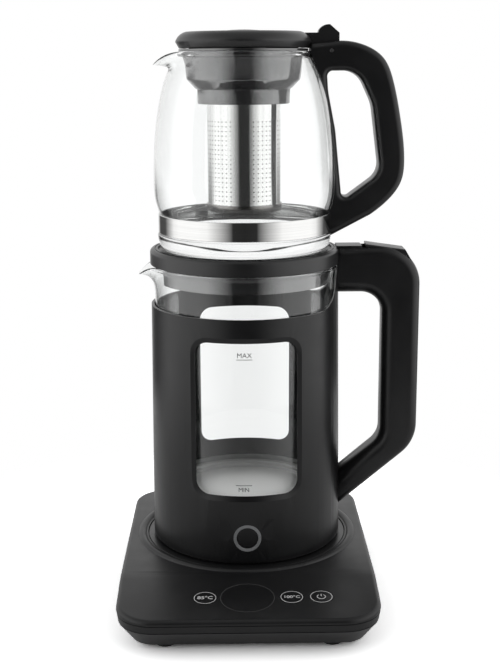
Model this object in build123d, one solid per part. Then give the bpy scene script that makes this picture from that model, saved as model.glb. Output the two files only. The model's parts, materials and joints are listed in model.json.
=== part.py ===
from build123d import *
import math
import os

# Automatic tea maker, in millimetres: a corded base with a control panel, a glass kettle in a
# plastic sleeve that lifts off it, a push-in kettle lid, and a glass teapot with an infuser that
# stands on the lid. The origin is on the kettle's axis at the level of the feet. +X points to the
# handles, -Y to the control panel, +Z up.

# ---- clearances -----------------------------------------------------------------------------
lift_gap = 0.4          # between a piece that lifts off and what it stands on
slide_gap = 0.35        # around a key, a lever or a tongue that moves in its opening
fit_gap = 0.05          # around a screw or a pin in its hole

# ---- base -----------------------------------------------------------------------------------
foot_height = 4.5
foot_radius = 7.5
foot_recess = 1.0
foot_x = 60.0
foot_front_y = -132.5
foot_back_y = 72.0
foot_middle_y = 0.0      # the fifth foot, under the kettle
base_half_width = 96.4
base_front = 158.0
base_back = 96.0
base_corner_r = 29.0
base_wall = 2.5
base_lower_height = 13.2
base_upper_height = 15.8
base_upper_taper = 2.5
base_lower_taper_side = 12.5
base_lower_taper_front = 13.0
shadow_gap = 0.6
shadow_gap_height = 5.7
base_edge_r = 3.5
panel_start = 90.0
panel_drop = 6.0
panel_blend_r = 150.0
bead_radius = 85.2
bead_half_width = 3.3
bead_height = 1.9
seat_radius = 79.7
seat_gap = 0.8
seat_thickness = 2.2
seat_drop = 0.3
seat_ledge_width = 6.0
seat_ledge_thickness = 2.5
seat_rib_depth = 0.5
seat_rib_half_width = 0.5
seat_rib_shares = (0.4, 0.65, 0.9)
hub_radius = 17.0
hub_rise = 8.3
hub_flange_radius = 26.0
hub_flange_thickness = 3.0
hub_depth = 12.0
hub_groove_inner = 9.4
hub_groove_outer = 12.2
hub_groove_depth = 7.0
hub_socket_radius = 4.0

# ---- control panel --------------------------------------------------------------------------
panel_row_y = -125.0
key_radius = 8.3
key_proud = 0.25
key_thickness = 3.4
key_travel = 0.7
key_slack = 0.5
key_stem_radius = 2.4
key_stem_length = 2.8
keep_warm_x = -31.4
boil_x = 31.2
power_x = 52.6
display_x = -0.8
display_radius = 19.6
display_proud = 0.05
display_module_width = 31.0
display_module_depth = 20.0
switch_size = 6.0
switch_height = 3.2
switch_plunger_radius = 1.75
switch_plunger_height = 0.8
board_thickness = 1.6
control_board_half_width = 73.0
control_board_half_depth = 14.5
board_post_radius = 2.8
board_post_margin = 4.0

# ---- base inside ----------------------------------------------------------------------------
screw_radius = 1.75
screw_head_radius = 3.1
screw_head_height = 2.2
screw_slot_half_width = 0.4
screw_boss_radius = 4.4
screw_column_height = 7.5
screw_counterbore_depth = 4.0
base_screw_x = 72.0
base_screw_front_y = -103.0
base_screw_back_y = 60.0
power_board_half_width = 46.0
power_board_front = 30.0
power_board_back = 78.0
power_board_lift = 6.0
relay_size = (19.0, 15.5, 10.5)
gland_radius = 5.0
gland_flange_radius = 6.4
gland_flange_thickness = 2.4
gland_bore_radius = 3.4
gland_inside_length = 7.0
gland_drop = 8.6

# ---- kettle ---------------------------------------------------------------------------------
sleeve_top_radius = 73.3
sleeve_bottom_radius = 75.3
sleeve_wall = 2.1
collar_foot_x = 66.5
collar_head_x = 71.6
collar_bend_r = 13.0
window_half_width = 38.2
window_height = 117.7
window_sill = 52.0
window_head = 17.8
window_corner_r = 10.0
window_bevel = 4.0
window_bevel_depth = 1.6
bottom_cover_thickness = 2.6
bottom_cover_inset = 1.6
bottom_rim_height = 7.5
bottom_rim_wall = 2.0
glass_inner_radius = 68.0
glass_wall = 2.5
glass_bead_radius = 71.5
glass_bead_height = 3.4
heater_height = 33.4
plate_thickness = 1.2
plate_gap = 0.2
plate_step_r = 57.0
plate_step_height = 2.2
plate_rim_r = 62.5
plate_rim_height = 5.0
seal_wall = 1.3
seal_height = 8.0
seal_floor = 3.5
support_thickness = 4.0
support_inner_radius = 54.0
support_boss_circle = 62.0
support_boss_angles = (30, 150, 210, 330)
kettle_screw_column = 5.5
element_radius = 43.0
element_tube_radius = 4.0
element_sweep = 300.0
socket_radius = 21.5
socket_height = 16.5
socket_clearance = 0.6
socket_depth = 9.2
blade_half_width = 0.6
blade_end_gap = 1.2
thermostat_radius = 16.0
thermostat_arm_reach = 25.6
thermostat_arm_half_width = 4.0
thermostat_arm_thickness = 4.0
spout_tip_r = 84.5
spout_tip_drop = 8.2
lip_root_share = 0.82
lip_tip_size = 2.4
lip_tip_slim = 0.45
spout_half_width = 20.0
spout_depth = 12.0
spout_wall = 1.8

# ---- start button ---------------------------------------------------------------------------
button_height = 21.7
button_radius = 7.9
button_travel = 1.0
button_thickness = 2.0
button_stem_radius = 2.6
button_stem_length = 7.3
ring_width = 2.3
ring_depth = 2.9
ring_proud = 0.25
button_switch_size = (11.0, 6.0, 5.6)
button_switch_gap = 0.6
button_bracket_half_width = 9.0
button_bracket_thickness = 2.0

# ---- kettle handle and lever ----------------------------------------------------------------
handle_half_width = 14.0
handle_wall = 3.0
handle_core_gap = 1.8
handle_inner_edge_r = 9.0
handle_outer_edge_r = 7.0
handle_top_height = 234.5
handle_over_lid = 0.8
handle_reach = 136.3
handle_root_share = 0.88   # of the sleeve's radius
handle_top_depth = 36.2
handle_grip_depth = 29.1
handle_low_outer_height = 76.3
handle_low_inner_height = 80.0
handle_low_slope = 40.0
handle_top_bend_r = 30.0
handle_low_bend_r = 32.0
gap_top_bend_r = 17.0
gap_low_bend_r = 18.0
handle_cap_depth = 13.6
handle_screw_radius = 1.6
handle_screw_length = 16.0
handle_root_screw_x = 89.5
tongue_half_width = 9.0
tongue_end_x = 90.8
tongue_corner_r = 2.0
tongue_thickness = 5.1
tongue_rise = 0.3
lever_half_width = 10.0
lever_start_x = 94.2
lever_end_x = 124.4
lever_rise = 1.6
lever_slope_drop = 4.4
lever_tip_x = 128.4
lever_tip_drop = 9.6
lever_plate = 3.4
lever_edge_r = 1.0
lever_pin_x = 100.0
lever_pin_drop = 5.9
lever_pin_cover = 1.5
lever_pin_radius = 1.25
lever_barrel_radius = 3.0
lever_barrel_gap = 3.6
lever_web_depth = 4.1
lever_spring_room = 0.8
lever_spring_end_gap = 1.2
lever_pocket_depth = 12.5
lever_spring_wire = 0.4
lever_spring_pitch = 1.15

# ---- kettle lid -----------------------------------------------------------------------------
lid_radius = 73.6
lid_height = 11.6
lid_edge_r = 3.0
lid_top_thickness = 3.0
dish_depth = 1.4
dish_radius = 67.6
lid_groove_inset = 0.6
lid_groove_width = 0.7
lid_groove_depth = 0.7
lid_wall = 2.4
skirt_radius = 66.0
skirt_wall = 2.2
skirt_depth = 14.4
skirt_notch_half_width = 24.0
skirt_notch_r = 11.0
gasket_radius = 67.6
gasket_height = 3.0
vent_circle = 20.0
vent_radius = 2.2
vent_count = 6

# ---- teapot ---------------------------------------------------------------------------------
pot_foot_radius = 63.5
pot_foot_ring = 5.0
pot_foot_rise = 1.2
pot_base_bulge = 67.5
pot_base_bulge_height = 11.0
pot_bulge_middle_inset = 1.6
pot_bulge_middle_share = 0.55
pot_bulge_top_inset = 0.4
pot_bulge_top_rise = 2.0
pot_floor_bend_r = 8.0
pot_wall = 2.5
pot_floor = 5.0
band_recess_radius = 65.7
band_low = 13.7
band_high = 28.2
band_thickness = 1.0
band_margin = 0.25
pot_belly_radius = 69.7
pot_belly_height = 46.0
pot_waist_radius = 66.9
pot_waist_height = 90.5
pot_shoulder_radius = 61.2
pot_shoulder_height = 119.5
pot_rim_radius = 50.6
pot_height = 149.1
pot_rim_bead = 1.2
pot_rim_bead_height = 2.9
pot_spout_tip_r = 69.3
pot_spout_tip_drop = 9.4
pot_spout_half_width = 17.0
pot_spout_depth = 13.0
pot_handle_half_width = 12.0
pot_handle_edge_r = 5.0
pot_handle_inner_edge_r = 4.5
pot_strap = 2.4
pot_strap_low = 4.0
pot_handle_foot_x = 66.8
pot_handle_foot = 10.5
pot_handle_foot_rise = 1.5
pot_lid_room = 0.65
pot_flange_room = 0.2
pot_pin_end_gap = 1.5
# the teapot handle's back: distance from the axis, and height from the rim or from the foot
pot_handle_upper = [(71.0, 7.3), (91.9, 3.6), (104.9, -5.2), (112.9, -22.9), (118.6, -49.7)]
pot_handle_lower = [(122.2, 67.5), (120.4, 52.5), (108.4, 35.5), (96.6, 26.1)]
# its finger gap, in the same way
pot_gap_upper = [(62.6, -14.7), (85.5, -14.5), (97.0, -39.1)]
pot_gap_lower = [(103.6, 58.0), (74.4, 36.6)]
# the bends at its corners, then those where the strip along the glass begins, turns and ends
pot_gap_bends = [4.0, 17.0, 30.0, 15.0, 4.0, 30.0, 60.0, 60.0]
pot_strap_head = 14.9
pin_x = 65.8
pin_height = 149.3
pin_radius = 1.5
knuckle_radius = 4.3
slot_half_width = 6.3
slot_radius = 19.6
slot_floor = 5.6
band_screw_radius = 1.8
band_screw_length = 14.0

# ---- infuser --------------------------------------------------------------------------------
collar_flange_radius = 48.9
collar_flange_thickness = 1.8
collar_top_radius = 45.0
collar_waist_radius = 43.5
collar_waist_height = 131.0
collar_step = 2.8
collar_step_width = 0.5
collar_neck_bend = (1.1, 0.2)
collar_neck_taper = 0.4
collar_cone_depth = 6.8
collar_neck_radius = 35.4
collar_neck_depth = 10.9
collar_wall = 2.0
basket_radius = 28.0
basket_wall = 0.5
basket_lip_width = 1.5
basket_lip_thickness = 0.8
basket_bottom_height = 30.0
basket_cap_height = 5.5
basket_cap_wall = 1.0

# ---- teapot lid -----------------------------------------------------------------------------
tea_lid_gap = 0.5
tea_lid_low_radius = 48.4
tea_lid_radius = 51.2
tea_lid_shoulder_radius = 43.5
tea_lid_edge_height = 4.8
tea_lid_height = 12.0
tea_lid_curve_inset = 2.2
tea_lid_curve_drop = 3.4
tea_lid_curve_share = 0.6
tea_lid_wall = 2.2
tea_lid_cap_radius = 20.0
tea_lid_cap_rise = 1.6
tea_lid_recess = 0.8
plug_radius = 41.0
plug_wall = 1.8
plug_depth = 4.0
arm_half_width = 5.9
arm_thickness = 10.0
arm_root = 8.0
arm_drop = 1.0
# the thumb tab's outline: distance from the hinge pin, then height above it or above the arm
tab_foot = [(-9.8, 0.0), (-9.4, 1.6)]
tab_top = [(-6.8, 17.6), (-0.9, 19.0)]
tab_end = [(6.1, 12.9), (6.1, 6.2)]

# ---- heights worked out from the sizes above --------------------------------------------------
base_parting_z = foot_height + base_lower_height
base_top_z = base_parting_z + base_upper_height
panel_angle = math.degrees(math.atan(panel_drop / (base_front - panel_start)))
seat_top_z = base_top_z - seat_drop
seat_low_z = seat_top_z - seat_thickness
kettle_z = seat_top_z + lift_gap
sleeve_height = window_sill + window_height + window_head
sleeve_low_z = kettle_z + bottom_cover_thickness
sleeve_top_z = sleeve_low_z + sleeve_height
heater_z = kettle_z + heater_height
plate_low_z = heater_z - plate_thickness
seal_low_z = plate_low_z - seal_floor
support_low_z = seal_low_z - support_thickness
handle_top_z = kettle_z + handle_top_height
lid_top_z = handle_top_z - handle_over_lid
lid_z = lid_top_z - lid_height
glass_rim_z = lid_z - lift_gap
dish_z = lid_top_z - dish_depth
pot_z = dish_z + lift_gap
pot_rim_z = pot_z + pot_height
pin_z = pot_z + pin_height
tea_lid_z = pot_rim_z + collar_flange_thickness + tea_lid_gap
collar_top_z = lid_z - lift_gap
collar_cone_height = collar_waist_height - collar_step - collar_cone_depth
collar_bottom_height = collar_cone_height - collar_neck_depth
button_z = kettle_z + button_height
glass_radius = glass_inner_radius + glass_wall
open_radius = 200.0      # larger than anything, for cutting tools
panel_z = base_top_z - (-panel_row_y - panel_start) * math.tan(math.radians(panel_angle))
panel_plane = Plane(
    origin=(0, panel_row_y, panel_z),
    x_dir=(1, 0, 0),
    z_dir=(0, -math.sin(math.radians(panel_angle)), math.cos(math.radians(panel_angle))),
)


def save(node, shape):
    """Write one sub-part and say how many solids it has."""
    solids = shape.solids()
    body = solids[0] if len(solids) == 1 else Compound(children=solids)
    export_step(body, f"parts/{node}.step")
    print(f"{node}: {len(solids)} solid(s)")


def post(radius, low, high, x=0.0, y=0.0):
    """An upright cylinder between two heights."""
    return Pos(x, y, low) * extrude(Circle(radius), amount=high - low)


def ring(outer, inner, low, high):
    return post(outer, low, high) - post(inner, low, high)


def block(x0, x1, y0, y1, z0, z1):
    return Pos((x0 + x1) / 2, (y0 + y1) / 2, (z0 + z1) / 2) * Box(x1 - x0, y1 - y0, z1 - z0)


def lathe(*edges):
    """Turn a closed outline, drawn as edges in the XZ plane, about the Z axis."""
    return revolve(Plane.XZ * make_face(list(edges)), Axis.Z)


def side_plate(face, half_width):
    """Extrude a face drawn in XZ to both sides of the centre plane."""
    return extrude(Plane.XZ * face, amount=half_width, both=True)


def polygon(*points):
    return make_face(Polyline(*points, close=True))


def rod_y(radius, y0, y1, x, z):
    """A cylinder along Y."""
    return Pos(x, y0, z) * Rot(X=-90) * extrude(Circle(radius), amount=y1 - y0)


def sleeve_radius(z):
    """The sleeve's outer radius at a height."""
    share = (z - sleeve_low_z) / sleeve_height
    return sleeve_bottom_radius + (sleeve_top_radius - sleeve_bottom_radius) * share


def sleeve_cone(inset, low, high):
    """The sleeve's outer form between two heights, made smaller by an inset."""
    return lathe(Polyline(
        (0, low), (sleeve_radius(low) - inset, low),
        (sleeve_radius(high) - inset, high), (0, high), close=True))


# ---- base -----------------------------------------------------------------------------------

def plan_section(z, inset_side, inset_front):
    """The base's rounded plan at one height."""
    front = -(base_front - inset_front)
    back = base_back - inset_side
    width = 2 * (base_half_width - inset_side)
    outline = RectangleRounded(width, back - front, base_corner_r - inset_side)
    return Pos(0, (front + back) / 2, z) * outline


def upper_block(inset):
    """The top cover's outer form, made smaller by an inset on every wall."""
    low = plan_section(base_parting_z, base_upper_taper + inset, base_upper_taper + inset)
    high = plan_section(base_top_z, inset, inset)
    walls = loft([low, high])
    reach = base_front + base_corner_r
    fall = (reach - panel_start) * math.tan(math.radians(panel_angle))
    top = base_top_z - inset
    side = make_face([
        FilletPolyline((base_back + 1, top), (-panel_start, top), (-reach, top - fall),
                       radius=panel_blend_r),
        Polyline((-reach, top - fall), (-reach, base_parting_z), (base_back + 1, base_parting_z),
                 (base_back + 1, top)),
    ])
    return walls & extrude(Plane.YZ * side, amount=base_half_width + 1, both=True)


def base_screw_spots():
    return [(x, y) for x in (-base_screw_x, base_screw_x)
            for y in (base_screw_front_y, base_screw_back_y)]


def foot_spots():
    corners = [(x, y) for x in (-foot_x, foot_x) for y in (foot_front_y, foot_back_y)]
    return corners + [(0, foot_middle_y)]


def key_spots():
    return {"key_keep_warm": keep_warm_x, "key_boil": boil_x, "key_power": power_x}


def board_post_spots():
    x = control_board_half_width - board_post_margin
    y = control_board_half_depth - board_post_margin
    return [(sx * x, sy * y) for sx in (-1, 1) for sy in (-1, 1)]


switch_gap = key_travel + key_slack
board_top = key_proud - key_thickness - key_stem_length - switch_gap - switch_plunger_height - switch_height
gland_z = base_top_z - gland_drop


def top_edges(shape):
    """The edges around the top cover's upper face, without the lines across it."""
    return [e for e in shape.edges()
            if e.center().Z > base_parting_z + 2 and abs(e.tangent_at(0.5).Z) < 0.3
            and not (abs(e.center().X) < 1 and -base_front / 1.1 < e.center().Y < 0)]


def base_top_cover():
    outer = upper_block(0)
    outer = fillet(top_edges(outer), base_edge_r)
    shell = outer - upper_block(base_wall)
    skin = upper_block(0) - upper_block(shadow_gap)
    for low in (base_parting_z, base_parting_z + shadow_gap_height):
        shell -= skin & block(-open_radius, open_radius, -open_radius, open_radius, low, low + shadow_gap)
    bead = lathe(
        ThreePointArc((bead_radius - bead_half_width, base_top_z),
                      (bead_radius, base_top_z + bead_height),
                      (bead_radius + bead_half_width, base_top_z)),
        Polyline((bead_radius + bead_half_width, base_top_z),
                 (bead_radius + bead_half_width, base_top_z - base_wall / 2),
                 (bead_radius - bead_half_width, base_top_z - base_wall / 2),
                 (bead_radius - bead_half_width, base_top_z)))
    well = seat_radius + seat_gap
    ledge = ring(well + base_wall, well - seat_ledge_width, seat_low_z - seat_ledge_thickness, seat_low_z)
    wall = ring(well + base_wall, well, seat_low_z - seat_ledge_thickness, base_top_z - base_wall / 2)
    shell = shell + bead + ((ledge + wall) & outer)
    for x, y in base_screw_spots():
        boss = post(screw_boss_radius, foot_height + screw_column_height, base_top_z, x, y)
        shell += boss & (outer + block(-base_half_width, base_half_width, -base_front, base_back,
                                       foot_height, base_parting_z))
    for x, y in board_post_spots():
        shell += panel_plane * post(board_post_radius, board_top, -base_wall / 2, x, y)
    shell -= post(well, seat_low_z, base_top_z + bead_height + 1)
    for x in key_spots().values():
        shell -= panel_plane * post(key_radius + slide_gap, -3 * base_wall, 3 * base_wall, x)
    shell -= panel_plane * post(display_radius + fit_gap, -3 * base_wall, 3 * base_wall, display_x)
    for x, y in base_screw_spots():
        depth = seat_low_z - seat_ledge_thickness - 2 * base_wall
        shell -= post(screw_radius + fit_gap, foot_height, depth, x, y)
    shell -= rod_y(gland_radius + fit_gap, base_back - 4 * base_wall, base_back + 1, 0, gland_z)
    return shell


def base_bottom_cover():
    def tray(inset):
        low = plan_section(foot_height, base_lower_taper_side + inset, base_lower_taper_front + inset)
        high = plan_section(base_parting_z, base_upper_taper + inset, base_upper_taper + inset)
        return loft([low, high])

    floor_z = foot_height + base_wall
    shell = tray(0) - (tray(base_wall) & block(-open_radius, open_radius, -open_radius, open_radius,
                                               floor_z, base_parting_z))
    for x, y in base_screw_spots():
        shell += post(screw_boss_radius, foot_height, foot_height + screw_column_height, x, y)
        shell -= post(screw_radius + fit_gap, foot_height, base_parting_z, x, y)
        shell -= post(screw_head_radius + slide_gap, foot_height,
                      foot_height + screw_counterbore_depth, x, y)
    for x, y in foot_spots():
        shell -= post(foot_radius, 0, foot_height + foot_recess, x, y)
    for x, y in power_board_post_spots():
        shell += post(board_post_radius, floor_z, floor_z + power_board_lift, x, y)
    return shell


def rubber_feet():
    feet = []
    for x, y in foot_spots():
        foot = post(foot_radius, 0, foot_height + foot_recess, x, y)
        feet.append(fillet(foot.edges().sort_by(Axis.Z)[:1], foot_radius / 10))
    return Compound(children=feet)


def base_screws():
    head_z = foot_height + screw_counterbore_depth
    screws = []
    for x, y in base_screw_spots():
        head = post(screw_head_radius, head_z - screw_head_height, head_z, x, y)
        slot = block(x - screw_head_radius, x + screw_head_radius, y - screw_slot_half_width,
                     y + screw_slot_half_width,
                     head_z - screw_head_height, head_z - screw_head_height / 2)
        shank = post(screw_radius, head_z, base_parting_z, x, y)
        screws.append(head - slot + shank)
    return Compound(children=screws)


def seat_disc():
    disc = post(seat_radius, seat_low_z, seat_top_z) - post(hub_radius + slide_gap, seat_low_z, seat_top_z)
    for share in seat_rib_shares:
        r = seat_radius * share
        disc -= ring(r + seat_rib_half_width, r - seat_rib_half_width,
                     seat_top_z - seat_rib_depth, seat_top_z)
    return disc


def base_connector():
    top = seat_top_z + hub_rise
    flange = post(hub_flange_radius, seat_low_z - hub_flange_thickness, seat_low_z)
    body = post(hub_radius, seat_low_z - hub_depth, top)
    groove = ring(hub_groove_outer, hub_groove_inner, top - hub_groove_depth, top)
    return flange + body - groove - post(hub_socket_radius, top - hub_groove_depth, top)


def display_lens():
    return panel_plane * post(display_radius, -base_wall, display_proud, display_x)


def display_module():
    w, d = display_module_width / 2, display_module_depth / 2
    return panel_plane * block(display_x - w, display_x + w, -d, d, board_top, -base_wall)


def control_board():
    board = block(-control_board_half_width, control_board_half_width, -control_board_half_depth,
                  control_board_half_depth, board_top - board_thickness, board_top)
    return panel_plane * board


def key_switches():
    switches = []
    h = switch_size / 2
    for x in key_spots().values():
        body = block(x - h, x + h, -h, h, board_top, board_top + switch_height)
        plunger = post(switch_plunger_radius, board_top + switch_height,
                       board_top + switch_height + switch_plunger_height, x)
        switches.append(panel_plane * (body + plunger))
    return Compound(children=switches)


def key(x):
    cap = post(key_radius, key_proud - key_thickness, key_proud, x)
    cap = fillet(cap.edges().sort_by(Axis.Z)[-1:], key_proud)
    stem = post(key_stem_radius, key_proud - key_thickness - key_stem_length, key_proud - key_thickness, x)
    return panel_plane * (cap + stem)


def power_board_post_spots():
    x = power_board_half_width - board_post_margin
    return [(sx * x, y) for sx in (-1, 1)
            for y in (power_board_front + board_post_margin, power_board_back - board_post_margin)]


power_board_z = foot_height + base_wall + power_board_lift


def power_board():
    return block(-power_board_half_width, power_board_half_width, power_board_front, power_board_back,
                 power_board_z, power_board_z + board_thickness)


def power_relay():
    length, width, height = relay_size
    y = (power_board_front + power_board_back) / 2
    z = power_board_z + board_thickness
    return block(-length / 2, length / 2, y - width / 2, y + width / 2, z, z + height)


def cord_gland():
    wall_y = base_back - base_upper_taper / 2
    inside = rod_y(gland_radius, wall_y - base_wall - gland_inside_length, wall_y, 0, gland_z)
    start = base_back
    flange = rod_y(gland_flange_radius, start, start + gland_flange_thickness, 0, gland_z)
    neck = rod_y(gland_radius, wall_y, start, 0, gland_z)
    bore = rod_y(gland_bore_radius, wall_y - open_radius / 4, start + open_radius / 4, 0, gland_z)
    return inside + neck + flange - bore


# ---- kettle ---------------------------------------------------------------------------------

def beak(tip_r, rim_r, rim_z, tip_drop, half_width, depth, wall=0.0):
    """A pouring lip towards -X: a cone cut along the line that rises from its tip to the rim.

    With a wall it is the lip's hollow, which is smaller and isn't cut.
    """
    tip_z = rim_z - tip_drop
    root_r = rim_r * lip_root_share
    rise = tip_drop / (tip_r - rim_r)
    stretch = (tip_r - root_r) / (tip_r - rim_r)
    root_z = tip_z + rise * (tip_r - root_r)
    root_w = half_width * stretch - wall
    root_d = depth * stretch - wall
    tip_size = lip_tip_size * (lip_tip_slim if wall else 1.0)
    tip = Plane(origin=(-tip_r + wall, 0, tip_z), x_dir=(0, -1, 0), z_dir=(-1, 0, 0)) * Ellipse(
        tip_size, tip_size / 2)
    root = Plane(origin=(-root_r, 0, root_z), x_dir=(0, -1, 0), z_dir=(-1, 0, 0)) * Ellipse(
        root_w, root_d)
    cone = loft([root, tip], ruled=True)
    if wall:
        return cone
    over = tip_z + rise * 2 * tip_r
    above = polygon((-tip_r - 5, tip_z - rise * 5), (tip_r, over), (-tip_r - 5, over))
    return cone - side_plate(above, open_radius)


def kettle_glass():
    r = glass_radius
    top = glass_rim_z
    bead_low = top - glass_bead_height
    body = post(r, plate_low_z, top)
    bead = lathe(
        Polyline((r - glass_wall / 2, top), (r, top)),
        ThreePointArc((r, top), (glass_bead_radius, top - glass_bead_height / 2), (r, bead_low)),
        Polyline((r, bead_low), (r - glass_wall / 2, bead_low), (r - glass_wall / 2, top)))
    lip = beak(spout_tip_r, glass_bead_radius, top, spout_tip_drop, spout_half_width, spout_depth)
    hollow = beak(spout_tip_r, glass_bead_radius, top, spout_tip_drop, spout_half_width,
                  spout_depth, spout_wall)
    jug = body + bead + (lip & block(-open_radius, 0, -open_radius, open_radius, 0, top))
    return jug - post(glass_inner_radius, plate_low_z, top) - hollow


def sleeve_cut_above():
    """What is taken from the sleeve above its edge, leaving the collar beside the handle."""
    outline = make_face([
        FilletPolyline((-open_radius, sleeve_top_z), (collar_foot_x, sleeve_top_z),
                       (collar_head_x, collar_top_z), (collar_head_x, collar_top_z + open_radius),
                       radius=[collar_bend_r, 0.5]),
        Polyline((collar_head_x, collar_top_z + open_radius), (-open_radius, collar_top_z + open_radius),
                 (-open_radius, sleeve_top_z)),
    ])
    return side_plate(outline, open_radius)


def window_tool():
    low = sleeve_low_z + window_sill
    outline = RectangleRounded(2 * window_half_width, window_height, window_corner_r)
    return side_plate(Pos(0, low + window_height / 2) * outline, open_radius)


def kettle_sleeve():
    shell = sleeve_cone(0, sleeve_low_z, collar_top_z)
    shell -= sleeve_cone(sleeve_wall, sleeve_low_z, collar_top_z)
    shell -= sleeve_cut_above()
    shell -= window_tool()
    rims = [e for e in shell.edges() if on_window_rim(e)]
    outside = shell.faces().sort_by(SortBy.AREA)[-1]
    shell = chamfer(rims, window_bevel, window_bevel_depth, reference=outside)
    bead_room = glass_bead_radius + lift_gap
    shell -= post(bead_room, glass_rim_z - glass_bead_height - 2, collar_top_z + 1)
    shell -= rod_y(button_radius + slide_gap + ring_width, -open_radius, 0, 0, button_z)
    return shell


def on_window_rim(edge):
    """True for an edge of a window on the sleeve's outer face."""
    c = edge.center()
    spots = [edge.position_at(t) for t in (0.1, 0.5, 0.9)]
    inside = all(abs(math.hypot(p.X, p.Y) - sleeve_radius(p.Z)) < 0.05 for p in spots)
    low = sleeve_low_z + window_sill
    return inside and abs(c.X) <= window_half_width + 1 and low - 1 < c.Z < low + window_height + 1


def support_boss_spots():
    turns = [math.radians(a) for a in support_boss_angles]
    return [(support_boss_circle * math.cos(a), support_boss_circle * math.sin(a)) for a in turns]


def kettle_bottom_cover():
    outer = sleeve_radius(sleeve_low_z) - bottom_cover_inset
    cover = post(outer, kettle_z, sleeve_low_z)
    cover = chamfer(cover.edges().sort_by(Axis.Z)[:1], bottom_cover_thickness / 3)
    rim_outer = sleeve_radius(sleeve_low_z + bottom_rim_height) - sleeve_wall - fit_gap
    cover += ring(rim_outer, rim_outer - bottom_rim_wall, sleeve_low_z, sleeve_low_z + bottom_rim_height)
    for x, y in support_boss_spots():
        cover += post(screw_boss_radius, kettle_z, sleeve_low_z + kettle_screw_column, x, y)
        cover -= post(screw_radius + fit_gap, kettle_z, sleeve_low_z + kettle_screw_column, x, y)
        cover -= post(screw_head_radius + slide_gap, kettle_z, kettle_z + screw_counterbore_depth, x, y)
    return cover - post(socket_radius + fit_gap, kettle_z, sleeve_low_z)


def kettle_screws():
    head_z = kettle_z + screw_counterbore_depth
    screws = []
    for x, y in support_boss_spots():
        head = post(screw_head_radius, head_z - screw_head_height, head_z, x, y)
        slot = block(x - screw_head_radius, x + screw_head_radius, y - screw_slot_half_width,
                     y + screw_slot_half_width,
                     head_z - screw_head_height, head_z - screw_head_height / 2)
        shank = post(screw_radius, head_z, support_low_z - 1, x, y)
        screws.append(head - slot + shank)
    return Compound(children=screws)


def kettle_connector():
    top = kettle_z + socket_height
    body = post(socket_radius, kettle_z + lift_gap, top)
    room = post(hub_radius + socket_clearance, kettle_z, kettle_z + socket_depth)
    blade_mid = (hub_groove_inner + hub_groove_outer) / 2
    low = seat_top_z + hub_rise - hub_groove_depth + blade_end_gap
    high = kettle_z + socket_depth
    blade = ring(blade_mid + blade_half_width, blade_mid - blade_half_width, low, high)
    pin = post(hub_socket_radius - socket_clearance, low, high)
    return body - room + blade + pin


def thermostat():
    low = kettle_z + socket_height
    body = post(thermostat_radius, low, plate_low_z)
    arm = block(-thermostat_arm_reach, thermostat_arm_reach, -thermostat_arm_half_width,
                thermostat_arm_half_width, low, low + thermostat_arm_thickness)
    return body + arm


def heater_plate():
    z = heater_z
    t = plate_thickness
    outer = glass_inner_radius - plate_gap
    return lathe(Polyline(
        (0, z - t), (outer, z - t), (outer, z + plate_rim_height - t),
        (plate_rim_r, z + plate_rim_height - t),
        (plate_rim_r, z + plate_step_height), (plate_step_r, z + plate_step_height), (plate_step_r, z),
        (0, z), close=True))


def heating_element():
    z = plate_low_z - element_tube_radius
    profile = Plane.XZ * (Pos(element_radius, z) * Circle(element_tube_radius))
    start = -element_sweep / 2
    tube = Rot(Z=start) * revolve(profile, Axis.Z, revolution_arc=element_sweep)
    return tube


def glass_seal():
    outer = glass_radius + fit_gap + seal_wall
    floor = ring(outer, support_inner_radius, seal_low_z, plate_low_z)
    wall = ring(outer, glass_radius + fit_gap, plate_low_z, plate_low_z + seal_height)
    return floor + wall


def heater_support():
    outer = sleeve_radius(support_low_z + support_thickness) - sleeve_wall - fit_gap
    plate = ring(outer, support_inner_radius, support_low_z, seal_low_z)
    low = sleeve_low_z + kettle_screw_column
    for x, y in support_boss_spots():
        plate += post(screw_boss_radius, low, support_low_z, x, y)
        plate -= post(screw_radius + fit_gap, low, support_low_z, x, y)
    button_room = button_radius + slide_gap + ring_width + slide_gap
    room_end = -sleeve_radius(button_z) + ring_depth + button_travel
    return plate - rod_y(button_room, -open_radius, room_end, 0, button_z)


def start_button():
    """The round button in the sleeve's lower front, with a stem to its switch."""
    z = button_z
    front = sleeve_radius(z)
    cap = rod_y(button_radius, -front - 1, -front + button_thickness, 0, z)
    cap = cap & sleeve_cone(-ring_proud / 2, z - 2 * button_radius, z + 2 * button_radius)
    stem = rod_y(button_stem_radius, -front + button_thickness,
                 -front + button_thickness + button_stem_length, 0, z)
    return cap + stem


def button_ring():
    z = button_z
    front = sleeve_radius(z)
    outer = button_radius + slide_gap + ring_width
    tube = rod_y(outer, -front - 1, -front + ring_depth, 0, z)
    tube -= rod_y(button_radius + slide_gap, -front - 1, -front + ring_depth, 0, z)
    return tube & sleeve_cone(-ring_proud, z - 2 * outer, z + 2 * outer)


button_stem_end = button_thickness + button_stem_length
button_switch_y = -sleeve_radius(button_z) + button_stem_end + button_travel + button_switch_gap


def button_switch():
    width, depth, height = button_switch_size
    y = button_switch_y + switch_plunger_height
    body = block(-width / 2, width / 2, y, y + depth, button_z - height / 2, button_z + height / 2)
    plunger = rod_y(switch_plunger_radius, button_switch_y, y, 0, button_z)
    return body + plunger


def button_bracket():
    y = button_switch_y + switch_plunger_height + button_switch_size[1]
    return block(-button_bracket_half_width, button_bracket_half_width, y, y + button_bracket_thickness,
                 button_z - button_switch_size[2] / 2 - 1, support_low_z)


# ---- kettle handle --------------------------------------------------------------------------

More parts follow.
